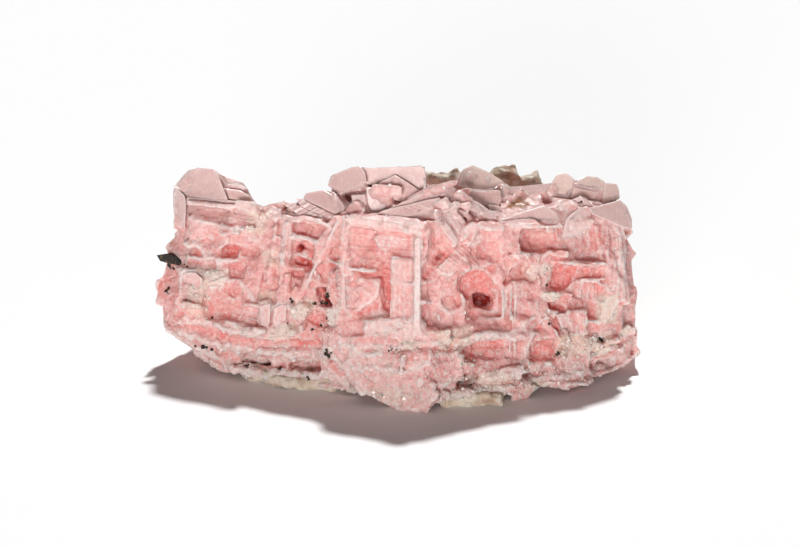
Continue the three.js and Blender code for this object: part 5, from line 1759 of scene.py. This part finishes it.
def srgb(red, green, blue):
    """Screen colour, 0 to 255, as the linear numbers that a shader takes."""
    share = np.array([red, green, blue]) / 255
    linear = np.where(share <= 0.04045, share / 12.92, ((share + 0.055) / 1.055) ** 2.4)
    return tuple(float(v) for v in linear)


# %% [markdown]
# ## Pink salt
# Clean salt is clear. This salt holds so many tiny bubbles and so much red algae dust that light
# wanders a few millimetres inside it before it comes out: thin edges are pale, and deep hollows,
# where light has gone back and forth many times, glow red. Transmission would need clear salt with
# real bubbles in it. Subsurface scattering does the wandering in one step. On top of it the colour
# paints light and shade by how shut in each spot is: painted shade and glow make hollows redder and
# the deepest dark red, and thin rims are painted paler.

# %% pink salt: how red
SALT_IOR = 1.544  # how strongly halite bends light
salt = Paint("pink_salt")
cloud = salt.noise(9, 3, 0.55)
mottle = salt.noise(2.2, 3, 0.6)
grit = salt.noise(0.9, 3, 0.6)
glassy = salt.attribute("glassy")
# Painted shade and glow: a spot is redder the more shut in it is and the redder its tint; the noise adds
# the salt's own uneven tone.
hollow_shade = (salt.attribute("hollow_shade") - 0.5 + (cloud - 0.5) * 0.16).clamp() * 1.5
tint = salt.attribute("red")
red = tint * tint * 0.75 + hollow_shade * 0.7 + (mottle - 0.5) * 1.0 + (grit - 0.5) * 0.5

# %% pink salt: milky blocks and healed cracks
swirl = salt.node("ShaderNodeTexNoise", {}, {"Vector": salt.place, "Scale": 1 / (7 * MM)})
bent = salt.node(
    "ShaderNodeVectorMath",
    {"operation": "MULTIPLY_ADD"},
    {0: swirl.outputs["Color"], 1: (9 * MM, 9 * MM, 9 * MM), 2: salt.place},
).outputs["Vector"]
network = Signal(salt, salt.cells(8, bent, feature="DISTANCE_TO_EDGE")["Distance"])
healed_crack = (1 - network.ramp(0.008, 0.035)) * cloud.ramp(0.42, 0.6) * (1 - glassy)
blocks = salt.cells(3.4, bent, distance="CHEBYCHEV")["Color"]
block = salt.node("ShaderNodeSeparateColor", {}, {"Color": blocks}).outputs[0]
milkiness = (Signal(salt, block) - 0.5) * (1 - glassy)
red = red - milkiness * 0.25

# %% pink salt: how pale
# Partly painted light: thin rims and edges are made paler, on top of the salt's milky edges, growth lines,
# cracks and pale tints.
rim = 0.5 - salt.attribute("rim") + (0.5 - salt.attribute("edge")) * 1.2 + (grit - 0.5) * 0.3
lines_across = salt.node("ShaderNodeCombineXYZ", {}, {"X": salt.attribute("across")}).outputs[0]
streaked = (salt.noise(1000 / 1.3, 2, place=lines_across) - 0.5) * salt.attribute("striped")
pale = salt.attribute("pale") * 0.8 + streaked * 1.6 + rim.ramp(0.05, 0.5) * 0.6 + milkiness * 0.3
pale = (pale + (mottle - 0.5) * 0.5 + (grit - 0.5) * 1.0 + healed_crack * 0.5).clamp()

# %% pink salt: colour
colour = salt.mix(cloud.ramp(0.3, 0.7), srgb(238, 178, 172), srgb(232, 161, 155))
# Painted shade and glow where red comes from hollows and pit floors: salmon, then red, then dark red in the
# deepest. Elsewhere these steps show the salt's own uneven pink.
colour = salt.mix(red.ramp(0.05, 0.65), colour, srgb(234, 138, 132))
colour = salt.mix(red.ramp(0.5, 0.95), colour, srgb(218, 100, 92))
colour = salt.mix(red.ramp(0.9, 1.25), colour, srgb(150, 34, 30))
colour = salt.mix(glassy * 0.7, colour, srgb(214, 184, 180))
# Partly painted light: this lightens thin rims as well as the salt's own pale places.
colour = salt.mix(pale * (0.85 - glassy * 0.35), colour, srgb(240, 224, 220))
colour = salt.mix(salt.attribute("cream") * (0.4 + mottle * 0.6), colour, srgb(236, 220, 200))
# Tan tint: crust colour, dark enough to be crust in painted shade.
colour = salt.mix(salt.attribute("tan") * 1.2, colour, srgb(160, 112, 82))
flecks = salt.noise(1.0, 3, 0.6)
colour = salt.mix(flecks.ramp(0.5, 0.64) * 0.35 * (1 - glassy * 0.6), colour, srgb(248, 230, 224))
colour = salt.mix((1 - flecks).ramp(0.52, 0.68) * 0.25 * (1 - glassy), colour, srgb(220, 124, 116))

# %% pink salt: relief and light inside
stepped = Signal(salt, salt.cells(1.7, distance="CHEBYCHEV")["Distance"])
height = streaked * 1.2 + salt.noise(0.9, 4, 0.65) * (1 - glassy * 0.7) - stepped * (0.8 - glassy * 0.7)
salt.set(
    Base_Color=colour,
    Roughness=(mottle * 0.3 + 0.1).clamp(),
    Normal=salt.bump(height, 0.5, 0.9),
)
salt.shader.inputs["IOR"].default_value = SALT_IOR
let_light_in(salt.shader, 0.55, (1.0, 0.45, 0.4), 3.5)
halite.data.materials.append(salt.material)
print("pink_salt:", len(salt.tree.nodes), "nodes")

# %% [markdown]
# ## Clean salt
# The flat-faced crystals hold fewer bubbles, so light goes through them without being turned about.
# With the reach of the milky salt they look like wax and lose their edges. Their finish is a copy of
# it with a quarter of the light wandering, and only a millimetre or so.

# %% clean salt
clean_salt = salt.material.copy()
clean_salt.name = "clean_salt"
let_light_in(clean_salt.node_tree.nodes["Principled BSDF"], 0.25, (1.0, 0.8, 0.75), 1.2)
crystals.data.materials.append(clean_salt)
print("clean_salt:", len(clean_salt.node_tree.nodes), "nodes")

# %% [markdown]
# ## Sugar grains' finish
# The grains are the same salt, but each is so small and scratched that it looks frosted and nearly
# white. A short reach and a colour of their own keep them from taking on the red round them.

# %% sugar grains' finish
sugar = Paint("sugar_salt")
frosting = sugar.noise(1.3, 2, 0.5)
sugar.set(
    Base_Color=sugar.mix(frosting.ramp(0.35, 0.65), srgb(236, 200, 192), srgb(246, 232, 224)),
    Roughness=(frosting * 0.4 + 0.1).clamp(),
)
sugar.shader.inputs["IOR"].default_value = SALT_IOR
let_light_in(sugar.shader, 0.4, (1.0, 0.6, 0.55), 1.0)
grains.data.materials.append(sugar.material)
print("sugar_salt:", len(sugar.tree.nodes), "nodes")

# %% [markdown]
# ## Sandy crust
# Grains of salt stained by clay scatter light at once, so this finish is nearly opaque and dull, with
# patches where the stain is thin and the salt shows cream. One noise would make it look like stone,
# so round cells of paler sand lie over the patches.

# %% sandy crust
sand = Paint("tan_salt_crust")
patch = sand.noise(7, 4, 0.6)
speck = sand.noise(0.8, 3, 0.7)
# Painted shade: the crust is darker and browner the more shut in a spot is.
crust_shade = sand.attribute("hollow_shade").ramp(0.5, 0.85)
colour = sand.mix(patch.ramp(0.35, 0.6), srgb(198, 162, 136), srgb(236, 220, 202))
nodule = 1 - Signal(sand, sand.cells(2.6)["Distance"]).ramp(0.25, 0.7)
colour = sand.mix(nodule * 0.55, colour, srgb(240, 226, 208))
colour = sand.mix(crust_shade * 0.6, colour, srgb(150, 102, 74))
colour = sand.mix(speck.ramp(0.6, 0.75) * 0.6, colour, srgb(120, 84, 60))
sand.set(
    Base_Color=colour,
    Roughness=(speck * 0.3 + 0.5).clamp(),
    Normal=sand.bump(sand.noise(1.2, 5, 0.7) + nodule * 0.8, 0.9, 1.0),
)
let_light_in(sand.shader, 0.3, (1.0, 0.6, 0.4), 1.0)
crust.data.materials.append(sand.material)
print("tan_salt_crust:", len(sand.tree.nodes), "nodes")

# %% [markdown]
# ## Clay flake
# A splinter of nearly black clay is stuck in the left edge. Its own solid is right as it is, so it
# only gets a finish: dull, with a few olive-brown scratches, which are noise drawn out along one
# axis. The specks of clay share it.

# %% clay flake
clay = Paint("black_clay")
scratch = clay.noise(0.6, 4, 0.7, (1.0, 1.0, 0.2))
clay.set(
    Base_Color=clay.mix(scratch.ramp(0.5, 0.68), srgb(30, 24, 20), srgb(122, 104, 62)),
    Roughness=(scratch * 0.4 + 0.35).clamp(),
    Normal=clay.bump(scratch, 0.5, 1.0),
)
specks.data.materials.append(clay.material)
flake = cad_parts["clay_flake"]
for slot in flake.material_slots:
    slot.material = clay.material
if not flake.material_slots:
    flake.data.materials.append(clay.material)
print("black_clay:", len(clay.tree.nodes), "nodes")

# %% [markdown]
# ## Handing over
# Each new piece rides on the cluster's one body. The two that stand for a node of the solid hide that
# node. The others only add to it.

# %% handing over
for piece, node, slot in (
    (halite, "halite_cluster", "pink_halite"),
    (crust, "salt_crust", "tan_salt"),
):
    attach(piece, "root")
    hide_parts(node)
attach(crystals, "root")
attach(grains, "root")
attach(specks, "root")
